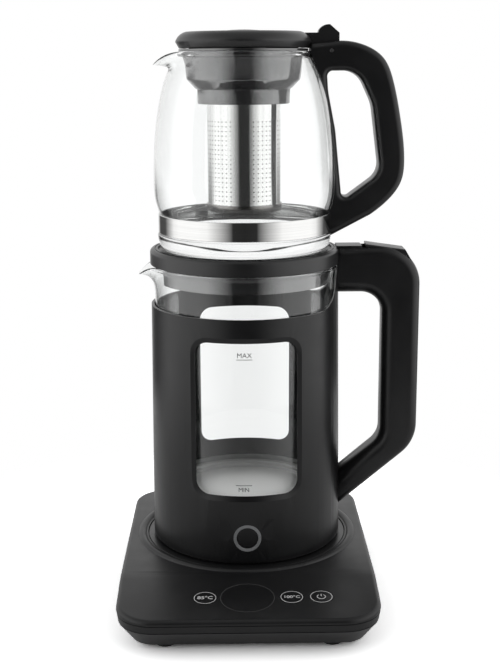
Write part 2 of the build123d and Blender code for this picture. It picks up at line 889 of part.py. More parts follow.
def inset_corners(points, inset):
    """The corners of a closed outline of straight sides, with every side moved inwards."""
    following = points[1:] + points[:1]
    before = points[-1:] + points[:-1]
    area = sum(x0 * z1 - x1 * z0 for (x0, z0), (x1, z1) in zip(points, following))
    moved = []
    for (ax, az), (bx, bz), (cx, cz) in zip(before, points, following):
        first, second = math.hypot(bx - ax, bz - az), math.hypot(cx - bx, cz - bz)
        n1x, n1z = (az - bz) / first, (bx - ax) / first
        n2x, n2z = (bz - cz) / second, (cx - bx) / second
        step = math.copysign(inset, area) / (1 + n1x * n2x + n1z * n2z)
        moved.append((bx + step * (n1x + n2x), bz + step * (n1z + n2z)))
    return moved


handle_slope = math.tan(math.radians(handle_low_slope))
handle_inner_x = handle_reach - handle_grip_depth
root_x = sleeve_top_radius * handle_root_share


def handle_low_outer(x):
    """The height of the handle's lower arm, underneath, at a distance from the axis."""
    return kettle_z + handle_low_outer_height - (handle_reach - x) * handle_slope


def handle_low_inner(x):
    return kettle_z + handle_low_inner_height - (handle_inner_x - x) * handle_slope


def handle_profile(inset=0.0):
    """The kettle handle seen from the side, drawn smaller by an inset all round."""
    top = handle_top_z
    outer = [(root_x, top), (handle_reach, top), (handle_reach, handle_low_outer(handle_reach)),
             (root_x, handle_low_outer(root_x))]
    inner = [(root_x, handle_low_inner(root_x)), (handle_inner_x, handle_low_inner(handle_inner_x)),
             (handle_inner_x, top - handle_top_depth), (root_x, top - handle_top_depth)]
    corners = inset_corners(outer + inner, inset)
    bends = [0, handle_top_bend_r - inset, handle_low_bend_r - inset, 0,
             0, gap_low_bend_r + inset, gap_top_bend_r + inset, 0]
    return make_face(FilletPolyline(*corners, radius=bends, close=True))


def in_finger_gap(spot):
    """True for a point on the inner side of the handle's grip and arms."""
    return (spot.X < handle_inner_x + 0.01 and spot.Z < handle_top_z - handle_top_depth + 0.01
            and spot.Z > handle_low_inner(spot.X) - 0.01)


def handle_room():
    """The space that the sleeve, the glass and the lid keep clear of the handle."""
    lid_room = post(lid_radius + slide_gap, collar_top_z, lid_top_z + open_radius)
    return sleeve_cone(0, sleeve_low_z, collar_top_z) + lid_room


def tongue_room():
    return block(lid_radius - 10, tongue_end_x + slide_gap, -tongue_half_width - slide_gap,
                 tongue_half_width + slide_gap, handle_top_z + tongue_rise - tongue_thickness - lift_gap,
                 handle_top_z + open_radius)


def lever_pocket():
    top = handle_top_z
    reach = lever_half_width + slide_gap
    return block(tongue_end_x, lever_tip_x + 2 * slide_gap, -reach, reach,
                 top - lever_pocket_depth, top + open_radius)


def handle_solid():
    """The whole handle, rounded around the finger gap and around its back."""
    body = side_plate(handle_profile(), handle_half_width)
    rims = [e for e in body.edges() if abs(abs(e.center().Y) - handle_half_width) < 0.01
            and e.center().X > root_x + 1]
    inner = [e for e in rims if in_finger_gap(e.position_at(0.5))]
    back = [e.position_at(0.5) for e in rims if not in_finger_gap(e.position_at(0.5))]
    body = fillet(inner, handle_inner_edge_r)
    outer = [e for e in body.edges() if any((e.position_at(0.5) - spot).length < 0.1 for spot in back)]
    return fillet(outer, handle_outer_edge_r) - handle_room()


def handle_screw_spots():
    grip_x = handle_reach - handle_grip_depth / 2
    low_x = handle_root_screw_x
    return [(grip_x, handle_top_z - 2 * handle_top_depth), (grip_x, handle_low_inner(handle_inner_x) + 12),
            (low_x, (handle_low_outer(low_x) + handle_low_inner(low_x)) / 2)]


def handle_hollow():
    core = side_plate(handle_profile(handle_wall), handle_half_width - handle_wall - handle_core_gap)
    solid_top = block(0, open_radius, -open_radius, open_radius,
                      handle_top_z - handle_cap_depth - lever_pocket_depth, handle_top_z + open_radius)
    root = sleeve_cone(-handle_wall, sleeve_low_z, collar_top_z + open_radius)
    core = core - solid_top - root
    for x, z in handle_screw_spots():
        core -= rod_y(2.6 * handle_screw_radius, -handle_half_width, handle_half_width, x, z)
    return core


def handle_half(side):
    """One half shell of the handle: side is -1 for the front, 1 for the back."""
    y0, y1 = (-open_radius, 0) if side < 0 else (0, open_radius)
    half = block(-open_radius, open_radius, y0, y1, 0, handle_top_z - handle_cap_depth)
    shell = handle_solid() & half
    shell -= handle_hollow()
    for x, z in handle_screw_spots():
        head_y = handle_half_width - handle_wall
        if side < 0:
            shell -= rod_y(handle_screw_radius + fit_gap, -handle_screw_length / 2, 0, x, z)
        else:
            shell -= rod_y(handle_screw_radius + fit_gap, 0, open_radius, x, z)
            shell -= rod_y(2 * handle_screw_radius, head_y - 1, open_radius, x, z)
    return shell


def handle_top_cap():
    """The handle's upper piece, with the lid tongue's groove and the lever's pocket."""
    cap = handle_solid() & block(-open_radius, open_radius, -open_radius, open_radius,
                                 handle_top_z - handle_cap_depth, handle_top_z + open_radius)
    cap = cap - tongue_room() - lever_pocket()
    reach = handle_half_width - lever_pin_cover
    return cap - rod_y(lever_pin_radius + fit_gap, -reach, reach, lever_pin_x,
                       handle_top_z - lever_pin_drop)


def handle_screws():
    head_y = handle_half_width - handle_wall - 1
    screws = []
    for x, z in handle_screw_spots():
        shank = rod_y(handle_screw_radius, -handle_screw_length / 2 + 1, head_y, x, z)
        head = rod_y(1.9 * handle_screw_radius, head_y, head_y + 2, x, z)
        screws.append(shank + head)
    return Compound(children=screws)


def thumb_lever():
    top = handle_top_z + lever_rise
    low = top - lever_slope_drop
    pin_z_here = handle_top_z - lever_pin_drop
    plate = polygon(
        (lever_start_x, top), (lever_end_x, low), (lever_tip_x, handle_top_z - lever_tip_drop),
        (lever_tip_x - lever_plate, handle_top_z - lever_tip_drop),
        (lever_end_x - lever_plate, low - lever_plate),
        (lever_pin_x + 2 * lever_barrel_radius, top - lever_web_depth),
        (lever_pin_x + lever_barrel_radius, pin_z_here), (lever_pin_x - lever_barrel_radius, pin_z_here),
        (lever_start_x, top - lever_plate))
    plate = side_plate(plate, lever_half_width)
    plate = fillet([e for e in plate.edges() if abs(abs(e.center().Y) - lever_half_width) < 0.01
                    and e.center().Z > low - 1 and abs(e.tangent_at(0.5).X) > 0.9], lever_edge_r)
    barrel = rod_y(lever_barrel_radius, -lever_half_width, lever_half_width, lever_pin_x, pin_z_here)
    lever = plate + barrel
    lever -= rod_y(lever_barrel_radius + lever_spring_room, -lever_barrel_gap, lever_barrel_gap,
                   lever_pin_x, pin_z_here)
    return lever - rod_y(lever_pin_radius + fit_gap, -open_radius, open_radius, lever_pin_x, pin_z_here)


def lever_pin():
    reach = handle_half_width - lever_pin_cover
    return rod_y(lever_pin_radius, -reach, reach, lever_pin_x, handle_top_z - lever_pin_drop)


def lever_spring():
    coil_radius = lever_pin_radius + 2 * lever_spring_wire
    height = 2 * (lever_barrel_gap - lever_spring_end_gap)
    path = Helix(pitch=lever_spring_pitch, height=height, radius=coil_radius)
    wire = Plane(path @ 0, z_dir=path % 0) * Circle(lever_spring_wire)
    coil = sweep(wire, path=path, is_frenet=True)
    return Pos(lever_pin_x, -height / 2, handle_top_z - lever_pin_drop) * Rot(X=-90) * coil


# ---- kettle lid -----------------------------------------------------------------------------

def kettle_lid():
    rim = post(lid_radius, lid_z, lid_top_z)
    rim = fillet(rim.edges().sort_by(Axis.Z)[-1:], lid_edge_r)
    rim -= post(lid_radius - lid_wall, lid_z, dish_z - lid_top_thickness)
    rim -= post(dish_radius, dish_z, lid_top_z)
    groove_outer = lid_radius - lid_edge_r - lid_groove_inset
    rim -= ring(groove_outer, groove_outer - lid_groove_width, lid_top_z - lid_groove_depth, lid_top_z)
    for i in range(vent_count):
        a = 2 * math.pi * i / vent_count
        rim -= post(vent_radius, lid_z, lid_top_z, vent_circle * math.cos(a), vent_circle * math.sin(a))
    tongue_top = handle_top_z + tongue_rise
    tongue = block(lid_radius - lid_wall, tongue_end_x, -tongue_half_width, tongue_half_width,
                   tongue_top - tongue_thickness, tongue_top)
    tongue = fillet(tongue.edges().filter_by(Axis.Z).sort_by(Axis.X)[-2:], tongue_corner_r)
    return rim + tongue


def kettle_lid_skirt():
    """The ring that reaches down into the glass, open towards the spout."""
    top = dish_z - lid_top_thickness
    flange = ring(lid_radius - lid_wall - fit_gap, skirt_radius - skirt_wall, top - 2, top)
    wall = ring(skirt_radius, skirt_radius - skirt_wall, lid_z - skirt_depth, top)
    low = lid_z - skirt_depth
    notch = make_face([
        FilletPolyline((-skirt_notch_half_width, lid_z), (-skirt_notch_half_width, low - open_radius),
                       (skirt_notch_half_width, low - open_radius), (skirt_notch_half_width, lid_z),
                       radius=skirt_notch_r),
        Polyline((skirt_notch_half_width, lid_z), (-skirt_notch_half_width, lid_z)),
    ])
    opening = extrude(Plane.YZ * notch, amount=-open_radius)
    return flange + wall - opening


def kettle_lid_gasket():
    top = dish_z - lid_top_thickness - 2
    return ring(gasket_radius, skirt_radius + fit_gap, top - gasket_height, top)


# ---- teapot ---------------------------------------------------------------------------------

def pot_side(inset):
    """The teapot's side above the band, from the band to the rim, as a smooth curve."""
    spots = [(band_recess_radius + 0.3, band_high + 0.8), (pot_belly_radius - 1.2, pot_belly_height - 9.5),
             (pot_belly_radius, pot_belly_height), (pot_waist_radius, pot_waist_height),
             (pot_shoulder_radius, pot_shoulder_height), (pot_rim_radius, pot_height)]
    return [(r - inset, pot_z + h) for r, h in spots]


def pot_outer_edges():
    foot_in = pot_foot_radius - pot_foot_ring
    low = pot_z
    side = pot_side(0)
    recess = band_recess_radius
    middle = (pot_base_bulge - pot_bulge_middle_inset, low + pot_base_bulge_height * pot_bulge_middle_share)
    bulge_top = (pot_base_bulge - pot_bulge_top_inset, low + pot_base_bulge_height + pot_bulge_top_rise)
    return [
        Polyline((0, low + pot_foot_rise), (foot_in, low + pot_foot_rise), (foot_in + pot_foot_rise, low),
                 (pot_foot_radius, low)),
        ThreePointArc((pot_foot_radius, low), middle, bulge_top),
        Polyline(bulge_top, (recess, low + band_low), (recess, low + band_high), side[0]),
        Spline(*side),
        Polyline(side[-1], (0, pot_rim_z), (0, low + pot_foot_rise)),
    ]


def pot_inner_edges():
    side = pot_side(pot_wall)
    floor = pot_z + pot_floor
    r = band_recess_radius - pot_wall
    bend = pot_floor_bend_r
    part_way = bend * (1 - math.cos(math.pi / 4))
    return [
        Polyline((0, floor), (r - bend, floor)),
        ThreePointArc((r - bend, floor), (r - part_way, floor + part_way), (r, floor + bend)),
        Polyline((r, floor + bend), (r, pot_z + band_high), side[0]),
        Spline(*side),
        Polyline(side[-1], (side[-1][0], pot_rim_z + 1), (0, pot_rim_z + 1), (0, floor)),
    ]


def pot_rim():
    """The rounded bead around the teapot's mouth."""
    r = pot_rim_radius
    low = pot_rim_z - pot_rim_bead_height
    widest = (r + pot_rim_bead, pot_rim_z - pot_rim_bead)
    under = (r + pot_rim_bead / 2, low)
    return lathe(
        Polyline((r - 1, pot_rim_z), (r, pot_rim_z)),
        ThreePointArc((r, pot_rim_z), widest, under),
        Polyline(under, (r - 1, low), (r - 1, pot_rim_z)))


def teapot_glass():
    lip = beak(pot_spout_tip_r, pot_rim_radius, pot_rim_z, pot_spout_tip_drop, pot_spout_half_width,
               pot_spout_depth)
    hollow = beak(pot_spout_tip_r, pot_rim_radius, pot_rim_z, pot_spout_tip_drop, pot_spout_half_width,
                  pot_spout_depth, spout_wall)
    jug = lathe(*pot_outer_edges()) + pot_rim() + (
        lip & block(-open_radius, 0, -open_radius, open_radius, 0, pot_rim_z))
    return jug - lathe(*pot_inner_edges()) - hollow


def pot_form():
    """The teapot's outside with its band, as the handle meets it."""
    band = post(band_recess_radius + band_thickness, pot_z + band_low + band_margin,
                pot_z + band_high - band_margin)
    return lathe(*pot_outer_edges()) + pot_rim() + band


def teapot_band():
    return ring(band_recess_radius + band_thickness, band_recess_radius,
                pot_z + band_low + band_margin, pot_z + band_high - band_margin)


def pot_upper_radius(z):
    """About how wide the teapot is at a height between its waist and its rim."""
    spots = pot_side(0)[3:]
    for (low_r, low_z), (high_r, high_z) in zip(spots, spots[1:]):
        if z <= high_z:
            break
    return low_r + (high_r - low_r) * (z - low_z) / (high_z - low_z)


def pot_handle_solid():
    """The teapot handle: an open D with a strip along the glass and two ears for the lid's pin."""
    upper = [(x, pot_rim_z + h) for x, h in pot_handle_upper]
    lower = [(x, pot_z + h) for x, h in pot_handle_lower]
    root = (pot_rim_radius - 0.6, pot_z + pot_shoulder_height)
    outer = [
        Polyline(root, (root[0], upper[0][1] - 2), upper[0]),
        Spline(*upper, *lower),
        Polyline(lower[-1], (pot_handle_foot_x, pot_z + pot_handle_foot),
                 (band_recess_radius - 5, pot_z + pot_handle_foot + pot_handle_foot_rise), root),
    ]
    gap_top = [(x, pot_rim_z + h) for x, h in pot_gap_upper]
    gap_low = [(x, pot_z + h) for x, h in pot_gap_lower]
    head = gap_top[0][1] - pot_strap_head
    strap = [(pot_belly_radius + pot_strap_low, pot_z + pot_belly_height),
             (pot_waist_radius + pot_strap, pot_z + pot_waist_height),
             (pot_upper_radius(head) + pot_strap, head)]
    inner = FilletPolyline(*gap_top, *gap_low, *strap, radius=pot_gap_bends, close=True)
    body = side_plate(make_face(outer), pot_handle_half_width)
    hole = side_plate(make_face(inner), pot_handle_half_width)
    return body, hole


def plate_rims(shape):
    """The edges of the teapot handle's two side faces, without those inside the glass."""
    return [e for e in shape.edges() if abs(abs(e.center().Y) - pot_handle_half_width) < 0.01
            and e.center().X > pot_rim_radius + 5]


def teapot_handle():
    body, hole = pot_handle_solid()
    solid = fillet(plate_rims(body), pot_handle_edge_r) - hole
    rims = [e.position_at(0.5) for e in plate_rims(hole)]
    inner = [e for e in solid.edges() if any((e.position_at(0.5) - spot).length < 0.1 for spot in rims)]
    solid = fillet(inner, pot_handle_inner_edge_r)
    solid -= pot_form()
    solid -= rod_y(slot_radius, -slot_half_width, slot_half_width, pin_x, pin_z) - block(
        0, open_radius, -open_radius, open_radius, 0, pin_z - slot_floor)
    solid -= block(0, pin_x, -slot_half_width, slot_half_width, pin_z - slot_floor, pin_z + open_radius)
    solid -= post(collar_flange_radius + pot_flange_room, pot_rim_z, pot_rim_z + open_radius)
    solid -= post(tea_lid_radius + pot_lid_room, tea_lid_z - tea_lid_gap, pot_rim_z + open_radius)
    solid -= rod_y(pin_radius + fit_gap, -open_radius, open_radius, pin_x, pin_z)
    solid -= Pos(0, 0, pot_z + (band_low + band_high) / 2) * Rot(Y=90) * extrude(
        Circle(band_screw_radius + fit_gap), amount=band_recess_radius + band_screw_length)
    return solid


def teapot_hinge_pin():
    reach = pot_handle_half_width - pot_pin_end_gap
    return rod_y(pin_radius, -reach, reach, pin_x, pin_z)


def band_screw():
    z = pot_z + (band_low + band_high) / 2
    start = band_recess_radius + band_thickness + 0.2
    return Pos(start, 0, z) * Rot(Y=90) * extrude(Circle(band_screw_radius), amount=band_screw_length - 2)


# ---- infuser --------------------------------------------------------------------------------

def collar_wall_points(inset):
    """The funnel's side from its mouth to its neck, drawn smaller by an inset."""
    bend_width, bend_drop = collar_neck_bend
    spots = [(collar_top_radius, pot_height), (collar_waist_radius, collar_waist_height),
             (collar_waist_radius - collar_step_width, collar_waist_height - collar_step),
             (collar_neck_radius + bend_width, collar_cone_height),
             (collar_neck_radius, collar_cone_height - bend_drop),
             (collar_neck_radius - collar_neck_taper, collar_bottom_height)]
    return [(r - inset, pot_z + h) for r, h in spots]


def infuser_collar():
    """The funnel that hangs in the teapot's mouth and carries the basket."""
    outer = collar_wall_points(0)
    top = pot_rim_z + collar_flange_thickness
    low = pot_z + collar_bottom_height
    floor_high = low + collar_wall
    body = lathe(Polyline((0, pot_rim_z), *outer, (0, low), close=True))
    flange = post(collar_flange_radius, pot_rim_z, top)
    inner = collar_wall_points(collar_wall)
    inner[-1] = (inner[-1][0], floor_high)
    hollow = lathe(Polyline((0, top), (inner[0][0], top), *inner, (0, floor_high), close=True))
    return body + flange - hollow - post(basket_radius + fit_gap, low - 1, floor_high + 1)


def infuser_basket():
    """The filter tube, drawn without its perforations."""
    low = pot_z + basket_bottom_height + basket_cap_wall
    top = pot_z + collar_bottom_height + collar_wall
    tube = ring(basket_radius, basket_radius - basket_wall, low, top)
    lip = ring(basket_radius + basket_lip_width, basket_radius - basket_wall, top,
               top + basket_lip_thickness)
    return tube + lip


def infuser_cap():
    low = pot_z + basket_bottom_height
    cup = post(basket_radius + basket_cap_wall, low, low + basket_cap_height)
    cup = fillet(cup.edges().sort_by(Axis.Z)[:1], basket_cap_wall * 0.9)
    return cup - post(basket_radius + fit_gap, low + basket_cap_wall, low + basket_cap_height)


# ---- teapot lid -----------------------------------------------------------------------------

def tea_lid_outline(inset):
    """Half of the lid's section, drawn smaller by an inset."""
    low = tea_lid_z + inset
    top = tea_lid_z + tea_lid_height
    edge = (tea_lid_radius - inset, tea_lid_z + tea_lid_edge_height)
    curve = (tea_lid_radius - tea_lid_curve_inset - inset,
             top - tea_lid_curve_drop - inset * tea_lid_curve_share)
    shoulder = (tea_lid_shoulder_radius - inset, top - inset)
    return [
        Polyline((0, low), (tea_lid_low_radius - inset, low), edge),
        ThreePointArc(edge, curve, shoulder),
        Polyline(shoulder, (0, top - inset), (0, low)),
    ]


def teapot_lid():
    shell = lathe(*tea_lid_outline(0)) - lathe(*tea_lid_outline(tea_lid_wall))
    shell -= post(tea_lid_low_radius - 2 * tea_lid_wall, tea_lid_z, tea_lid_z + tea_lid_wall)
    return shell - post(tea_lid_cap_radius + fit_gap, tea_lid_z + tea_lid_height - tea_lid_recess,
                        tea_lid_z + tea_lid_height)


def lid_liner():
    """The disc that closes the lid from below, with the plug that enters the infuser's mouth."""
    low = tea_lid_z
    disc = post(tea_lid_low_radius - 2 * tea_lid_wall - fit_gap, low, low + tea_lid_wall)
    plug = ring(plug_radius, plug_radius - plug_wall, low - plug_depth, low)
    return disc + plug


def lid_cap():
    """The shallow dome in the lid's centre, cut from a disc by a large sphere."""
    low = tea_lid_z + tea_lid_height - tea_lid_recess
    top = low + tea_lid_recess + tea_lid_cap_rise
    dome = (tea_lid_cap_radius ** 2 + tea_lid_cap_rise ** 2) / (2 * tea_lid_cap_rise)
    return post(tea_lid_cap_radius, low, top) & Pos(0, 0, top - dome) * Sphere(dome)


def lid_thumb_tab():
    """The arm from the lid to the hinge pin, with the rounded tab that the thumb presses."""
    x, z = pin_x, pin_z
    arm_x = tea_lid_radius - arm_root
    arm_low = tea_lid_z + pot_lid_room
    arm_top = tea_lid_z + tea_lid_height - arm_drop
    foot = [(x + dx, arm_top + dz) for dx, dz in tab_foot]
    top = [(x + dx, z + dz) for dx, dz in tab_top]
    end = [(x + dx, z + dz) for dx, dz in tab_end]
    outline = [
        Polyline((arm_x, arm_low), (arm_x, arm_top), *foot),
        ThreePointArc(foot[-1], *top),
        Polyline(top[-1], *end, (x + knuckle_radius, z), (x, z - knuckle_radius),
                 (x - knuckle_radius, z), (arm_x, arm_low)),
    ]
    tab = side_plate(make_face(outline), arm_half_width)
    tab += rod_y(knuckle_radius, -arm_half_width, arm_half_width, x, z)
    tab -= lathe(*tea_lid_outline(0))
    return tab - rod_y(pin_radius + fit_gap, -open_radius, open_radius, x, z)


# ---- write every sub-part -------------------------------------------------------------------

os.makedirs("parts", exist_ok=True)
makers = [
    base_top_cover, base_bottom_cover, rubber_feet, base_screws, seat_disc, base_connector, display_lens,
    display_module, control_board, key_switches, power_board, power_relay, cord_gland,
    kettle_glass, kettle_sleeve, kettle_bottom_cover, kettle_screws, kettle_connector, thermostat,
    heater_plate, heating_element, glass_seal, heater_support, start_button, button_ring, button_switch,
    button_bracket, handle_top_cap, handle_screws, thumb_lever, lever_pin, lever_spring,
    kettle_lid, kettle_lid_skirt, kettle_lid_gasket,
    teapot_glass, teapot_band, band_screw, teapot_handle, teapot_hinge_pin,
    infuser_collar, infuser_basket, infuser_cap,
    teapot_lid, lid_liner, lid_cap, lid_thumb_tab,
]
for make in makers:
    save(make.__name__, make())
for name, key_x in key_spots().items():
    save(name, key(key_x))
save("handle_front_shell", handle_half(-1))
save("handle_rear_shell", handle_half(1))
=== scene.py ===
import bpy
import bmesh
import json
import math
from mathutils import Matrix, Vector

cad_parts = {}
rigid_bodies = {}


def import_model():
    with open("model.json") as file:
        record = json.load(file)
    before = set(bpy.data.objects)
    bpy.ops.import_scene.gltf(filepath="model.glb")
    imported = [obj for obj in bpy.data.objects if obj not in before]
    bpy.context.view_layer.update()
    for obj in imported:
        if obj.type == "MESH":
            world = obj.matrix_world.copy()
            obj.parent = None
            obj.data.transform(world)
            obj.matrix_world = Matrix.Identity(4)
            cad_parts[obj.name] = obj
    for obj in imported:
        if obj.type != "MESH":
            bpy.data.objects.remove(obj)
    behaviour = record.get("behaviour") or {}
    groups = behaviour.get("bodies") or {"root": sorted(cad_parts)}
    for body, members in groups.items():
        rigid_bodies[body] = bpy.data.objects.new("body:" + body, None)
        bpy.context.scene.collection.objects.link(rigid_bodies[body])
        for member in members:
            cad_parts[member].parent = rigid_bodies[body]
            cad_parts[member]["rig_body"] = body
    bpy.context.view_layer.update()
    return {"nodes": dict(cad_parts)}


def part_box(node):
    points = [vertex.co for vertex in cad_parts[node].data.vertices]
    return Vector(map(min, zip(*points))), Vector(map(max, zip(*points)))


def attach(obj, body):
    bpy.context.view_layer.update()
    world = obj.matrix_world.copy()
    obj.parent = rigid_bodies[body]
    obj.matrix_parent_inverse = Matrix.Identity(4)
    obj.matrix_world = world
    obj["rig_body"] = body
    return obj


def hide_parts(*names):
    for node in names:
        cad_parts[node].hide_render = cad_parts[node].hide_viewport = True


# looks of the automatic tea maker, in metres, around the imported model

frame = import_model()
nodes = frame["nodes"]
mm = 0.001
print("frame loaded:", len(nodes), "nodes")

# the camera stands about level with the teapot's lid, looks slightly down and leans a touch;
# angles are in degrees
camera = {
    "place": (-8.4 * mm, -924 * mm, 407.5 * mm),
    "pitchDown": 12.777,
    "turnRight": 0.757,
    "lean": 0.33,
    "lens": 64.6,
    "sensorHeight": 36.0,
    "farthest": 30,
}


def makeCamera():
    data = bpy.data.cameras.new("camera")
    data.sensor_fit = "VERTICAL"
    data.sensor_height = camera["sensorHeight"]
    data.lens = camera["lens"]
    data.clip_end = camera["farthest"]
    cam = bpy.data.objects.new("camera", data)
    cam.location = camera["place"]
    turn = Matrix.Rotation(math.radians(-camera["turnRight"]), 3, "Z")
    pitch = Matrix.Rotation(math.radians(90 - camera["pitchDown"]), 3, "X")
    lean = Matrix.Rotation(math.radians(-camera["lean"]), 3, "Z")
    cam.rotation_euler = (turn @ pitch @ lean).to_euler()
    bpy.context.scene.collection.objects.link(cam)
    bpy.context.scene.camera = cam


makeCamera()
bpy.context.scene.view_settings.view_transform = "Standard"
print("camera placed")


# one shader node; its inputs are values or other nodes' outputs
def addNode(tree, kind, inputs=None, **settings):
    node = tree.nodes.new(kind)
    for key, value in settings.items():
        setattr(node, key, value)
    for key, value in (inputs or {}).items():
        socket = node.inputs[key]
        if isinstance(value, bpy.types.NodeSocket):
            tree.links.new(value, socket)
        else:
            socket.default_value = value
    return node


def newMaterial(name, **shader):
    mat = bpy.data.materials.new(name)
    mat.use_nodes = True
    tree = mat.node_tree
    bsdf = tree.nodes["Principled BSDF"]
    for key, value in shader.items():
        bsdf.inputs[key].default_value = value
    place = addNode(tree, "ShaderNodeTexCoord").outputs["Object"]
    return mat, tree, bsdf, place


def noise(tree, place, scale, detail=2.0, rough=0.5):
    return addNode(tree, "ShaderNodeTexNoise", {"Vector": place, "Scale": scale, "Detail": detail,
                                                "Roughness": rough}).outputs["Fac"]


def spread(tree, value, low, high, fromLow=0.3, fromHigh=0.7):
    return addNode(tree, "ShaderNodeMapRange", {"Value": value, "From Min": fromLow, "From Max": fromHigh,
                                                "To Min": low, "To Max": high}).outputs["Result"]


def twoTone(tree, value, dark, light, start=0.35, end=0.65):
    ramp = addNode(tree, "ShaderNodeValToRGB", {"Fac": value})
    ramp.color_ramp.elements[0].position = start
    ramp.color_ramp.elements[0].color = (*dark, 1)
    ramp.color_ramp.elements[1].position = end
    ramp.color_ramp.elements[1].color = (*light, 1)
    return ramp.outputs["Color"]


def bump(tree, height, strength, distance):
    return addNode(tree, "ShaderNodeBump", {"Height": height, "Strength": strength,
                                            "Distance": distance}).outputs["Normal"]


def stretched(tree, place, scale):
    return addNode(tree, "ShaderNodeMapping", {"Vector": place, "Scale": scale}).outputs["Vector"]


def dress(tree, bsdf, color, roughness, normal=None):
    tree.links.new(color, bsdf.inputs["Base Color"])
    tree.links.new(roughness, bsdf.inputs["Roughness"])
    if normal is not None:
        tree.links.new(normal, bsdf.inputs["Normal"])


# in the settings below a pattern is (scale per metre, detail), and a grain or streak depth is in metres
moulded = {"clouds": (28, 3), "gloss": (60, 4), "glossSpread": 0.03, "grainDetail": 2, "strength": 0.35,
           "depth": 0.00003}


# moulded plastic: a fine spark-eroded grain, faint flow clouds and uneven gloss
def mouldedPlastic(name, dark, light, roughness, grain, specular=0.4):
    mat, tree, bsdf, place = newMaterial(name)
    bsdf.inputs["Specular IOR Level"].default_value = specular
    clouds = noise(tree, place, *moulded["clouds"])
    gloss = noise(tree, place, *moulded["gloss"])
    grit = noise(tree, place, grain, moulded["grainDetail"])
    dress(tree, bsdf, twoTone(tree, clouds, dark, light),
          spread(tree, gloss, roughness - moulded["glossSpread"], roughness + moulded["glossSpread"]),
          bump(tree, grit, moulded["strength"], moulded["depth"]))
    return mat


polished = {"clouds": (40, 2), "dust": (220, 3), "glossSpread": (0.7, 1.4), "peel": (90, 1), "strength": 0.05,
            "depth": 0.0001}


# polished plastic, with the slightest orange peel and dust in its gloss
def glossPlastic(name, dark, light, roughness=0.06, **shader):
    mat, tree, bsdf, place = newMaterial(name, **shader)
    clouds = noise(tree, place, *polished["clouds"])
    dust = noise(tree, place, *polished["dust"])
    peel = noise(tree, place, *polished["peel"])
    least, most = polished["glossSpread"]
    dress(tree, bsdf, twoTone(tree, clouds, dark, light),
          spread(tree, dust, roughness * least, roughness * most),
          bump(tree, peel, polished["strength"], polished["depth"]))
    return mat


glass = {"color": (0.985, 0.992, 0.99, 1), "index": 1.47, "smears": (30, 2), "roughness": (0.0, 0.015),
         "waves": (22, 1), "strength": 0.03, "depth": 0.0004, "shadow": (0.96, 0.97, 0.97, 1)}


# borosilicate glass: lamp light passes straight through it, so what is inside stays lit
def clearGlass(name):
    mat, tree, bsdf, place = newMaterial(name)
    bsdf.inputs["Base Color"].default_value = glass["color"]
    bsdf.inputs["Transmission Weight"].default_value = 1
    bsdf.inputs["IOR"].default_value = glass["index"]
    smears = noise(tree, place, *glass["smears"])
    tree.links.new(spread(tree, smears, *glass["roughness"]), bsdf.inputs["Roughness"])
    waves = noise(tree, place, *glass["waves"])
    tree.links.new(bump(tree, waves, glass["strength"], glass["depth"]), bsdf.inputs["Normal"])
    path = addNode(tree, "ShaderNodeLightPath").outputs["Is Shadow Ray"]
    clear = addNode(tree, "ShaderNodeBsdfTransparent", {"Color": glass["shadow"]})
    mix = addNode(tree, "ShaderNodeMixShader", {0: path, 1: bsdf.outputs[0], 2: clear.outputs[0]})
    tree.links.new(mix.outputs[0], tree.nodes["Material Output"].inputs["Surface"])
    return mat


brushed = {"detail": 4, "rough": 0.7, "darker": 0.9, "glossSpread": (0.75, 1.3), "strength": 0.2}


# stainless steel with brush lines along one direction, given as a stretched pattern scale
def brushedSteel(name, color, roughness, streaks, depth=0.00002):
    mat, tree, bsdf, place = newMaterial(name, Metallic=1.0)
    lines = noise(tree, stretched(tree, place, streaks), 1.0, brushed["detail"], brushed["rough"])
    darker = tuple(c * brushed["darker"] for c in color)
    least, most = brushed["glossSpread"]
    dress(tree, bsdf, twoTone(tree, lines, darker, color),
          spread(tree, lines, roughness * least, roughness * most),
          bump(tree, lines, brushed["strength"], depth))
    return mat


lathed = {"scale": 2600, "detail": 3, "rough": 0.6, "darker": 0.88, "glossSpread": (0.8, 1.25),
          "strength": 0.3, "depth": 0.00003}


# stainless steel with fine rings about the kettle's axis
def turnedSteel(name, color, roughness):
    mat, tree, bsdf, place = newMaterial(name, Metallic=1.0)
    flat = addNode(tree, "ShaderNodeVectorMath", {0: place, 1: (1, 1, 0)}, operation="MULTIPLY").outputs[0]
    far = addNode(tree, "ShaderNodeVectorMath", {0: flat}, operation="LENGTH").outputs["Value"]
    ringPlace = addNode(tree, "ShaderNodeCombineXYZ", {"X": far}).outputs[0]
    rings = noise(tree, ringPlace, lathed["scale"], lathed["detail"], lathed["rough"])
    darker = tuple(c * lathed["darker"] for c in color)
    least, most = lathed["glossSpread"]
    dress(tree, bsdf, twoTone(tree, rings, darker, color),
          spread(tree, rings, roughness * least, roughness * most),
          bump(tree, rings, lathed["strength"], lathed["depth"]))
    return mat


rubber = {"specks": (300, 3), "gloss": (500, 2), "roughness": (0.6, 0.75), "grain": (1500, 2),
          "strength": 0.3, "depth": 0.00005}


def softRubber(name, dark, light):
    mat, tree, bsdf, place = newMaterial(name)
    specks = noise(tree, place, *rubber["specks"])
    gloss = noise(tree, place, *rubber["gloss"])
    grain = noise(tree, place, *rubber["grain"])
    dress(tree, bsdf, twoTone(tree, specks, dark, light), spread(tree, gloss, *rubber["roughness"]),
          bump(tree, grain, rubber["strength"], rubber["depth"]))
    return mat


ink = {"specks": (1800, 3), "thin": 0.8, "tones": (0.3, 0.6), "gloss": (900, 2), "roughness": (0.45, 0.6)}


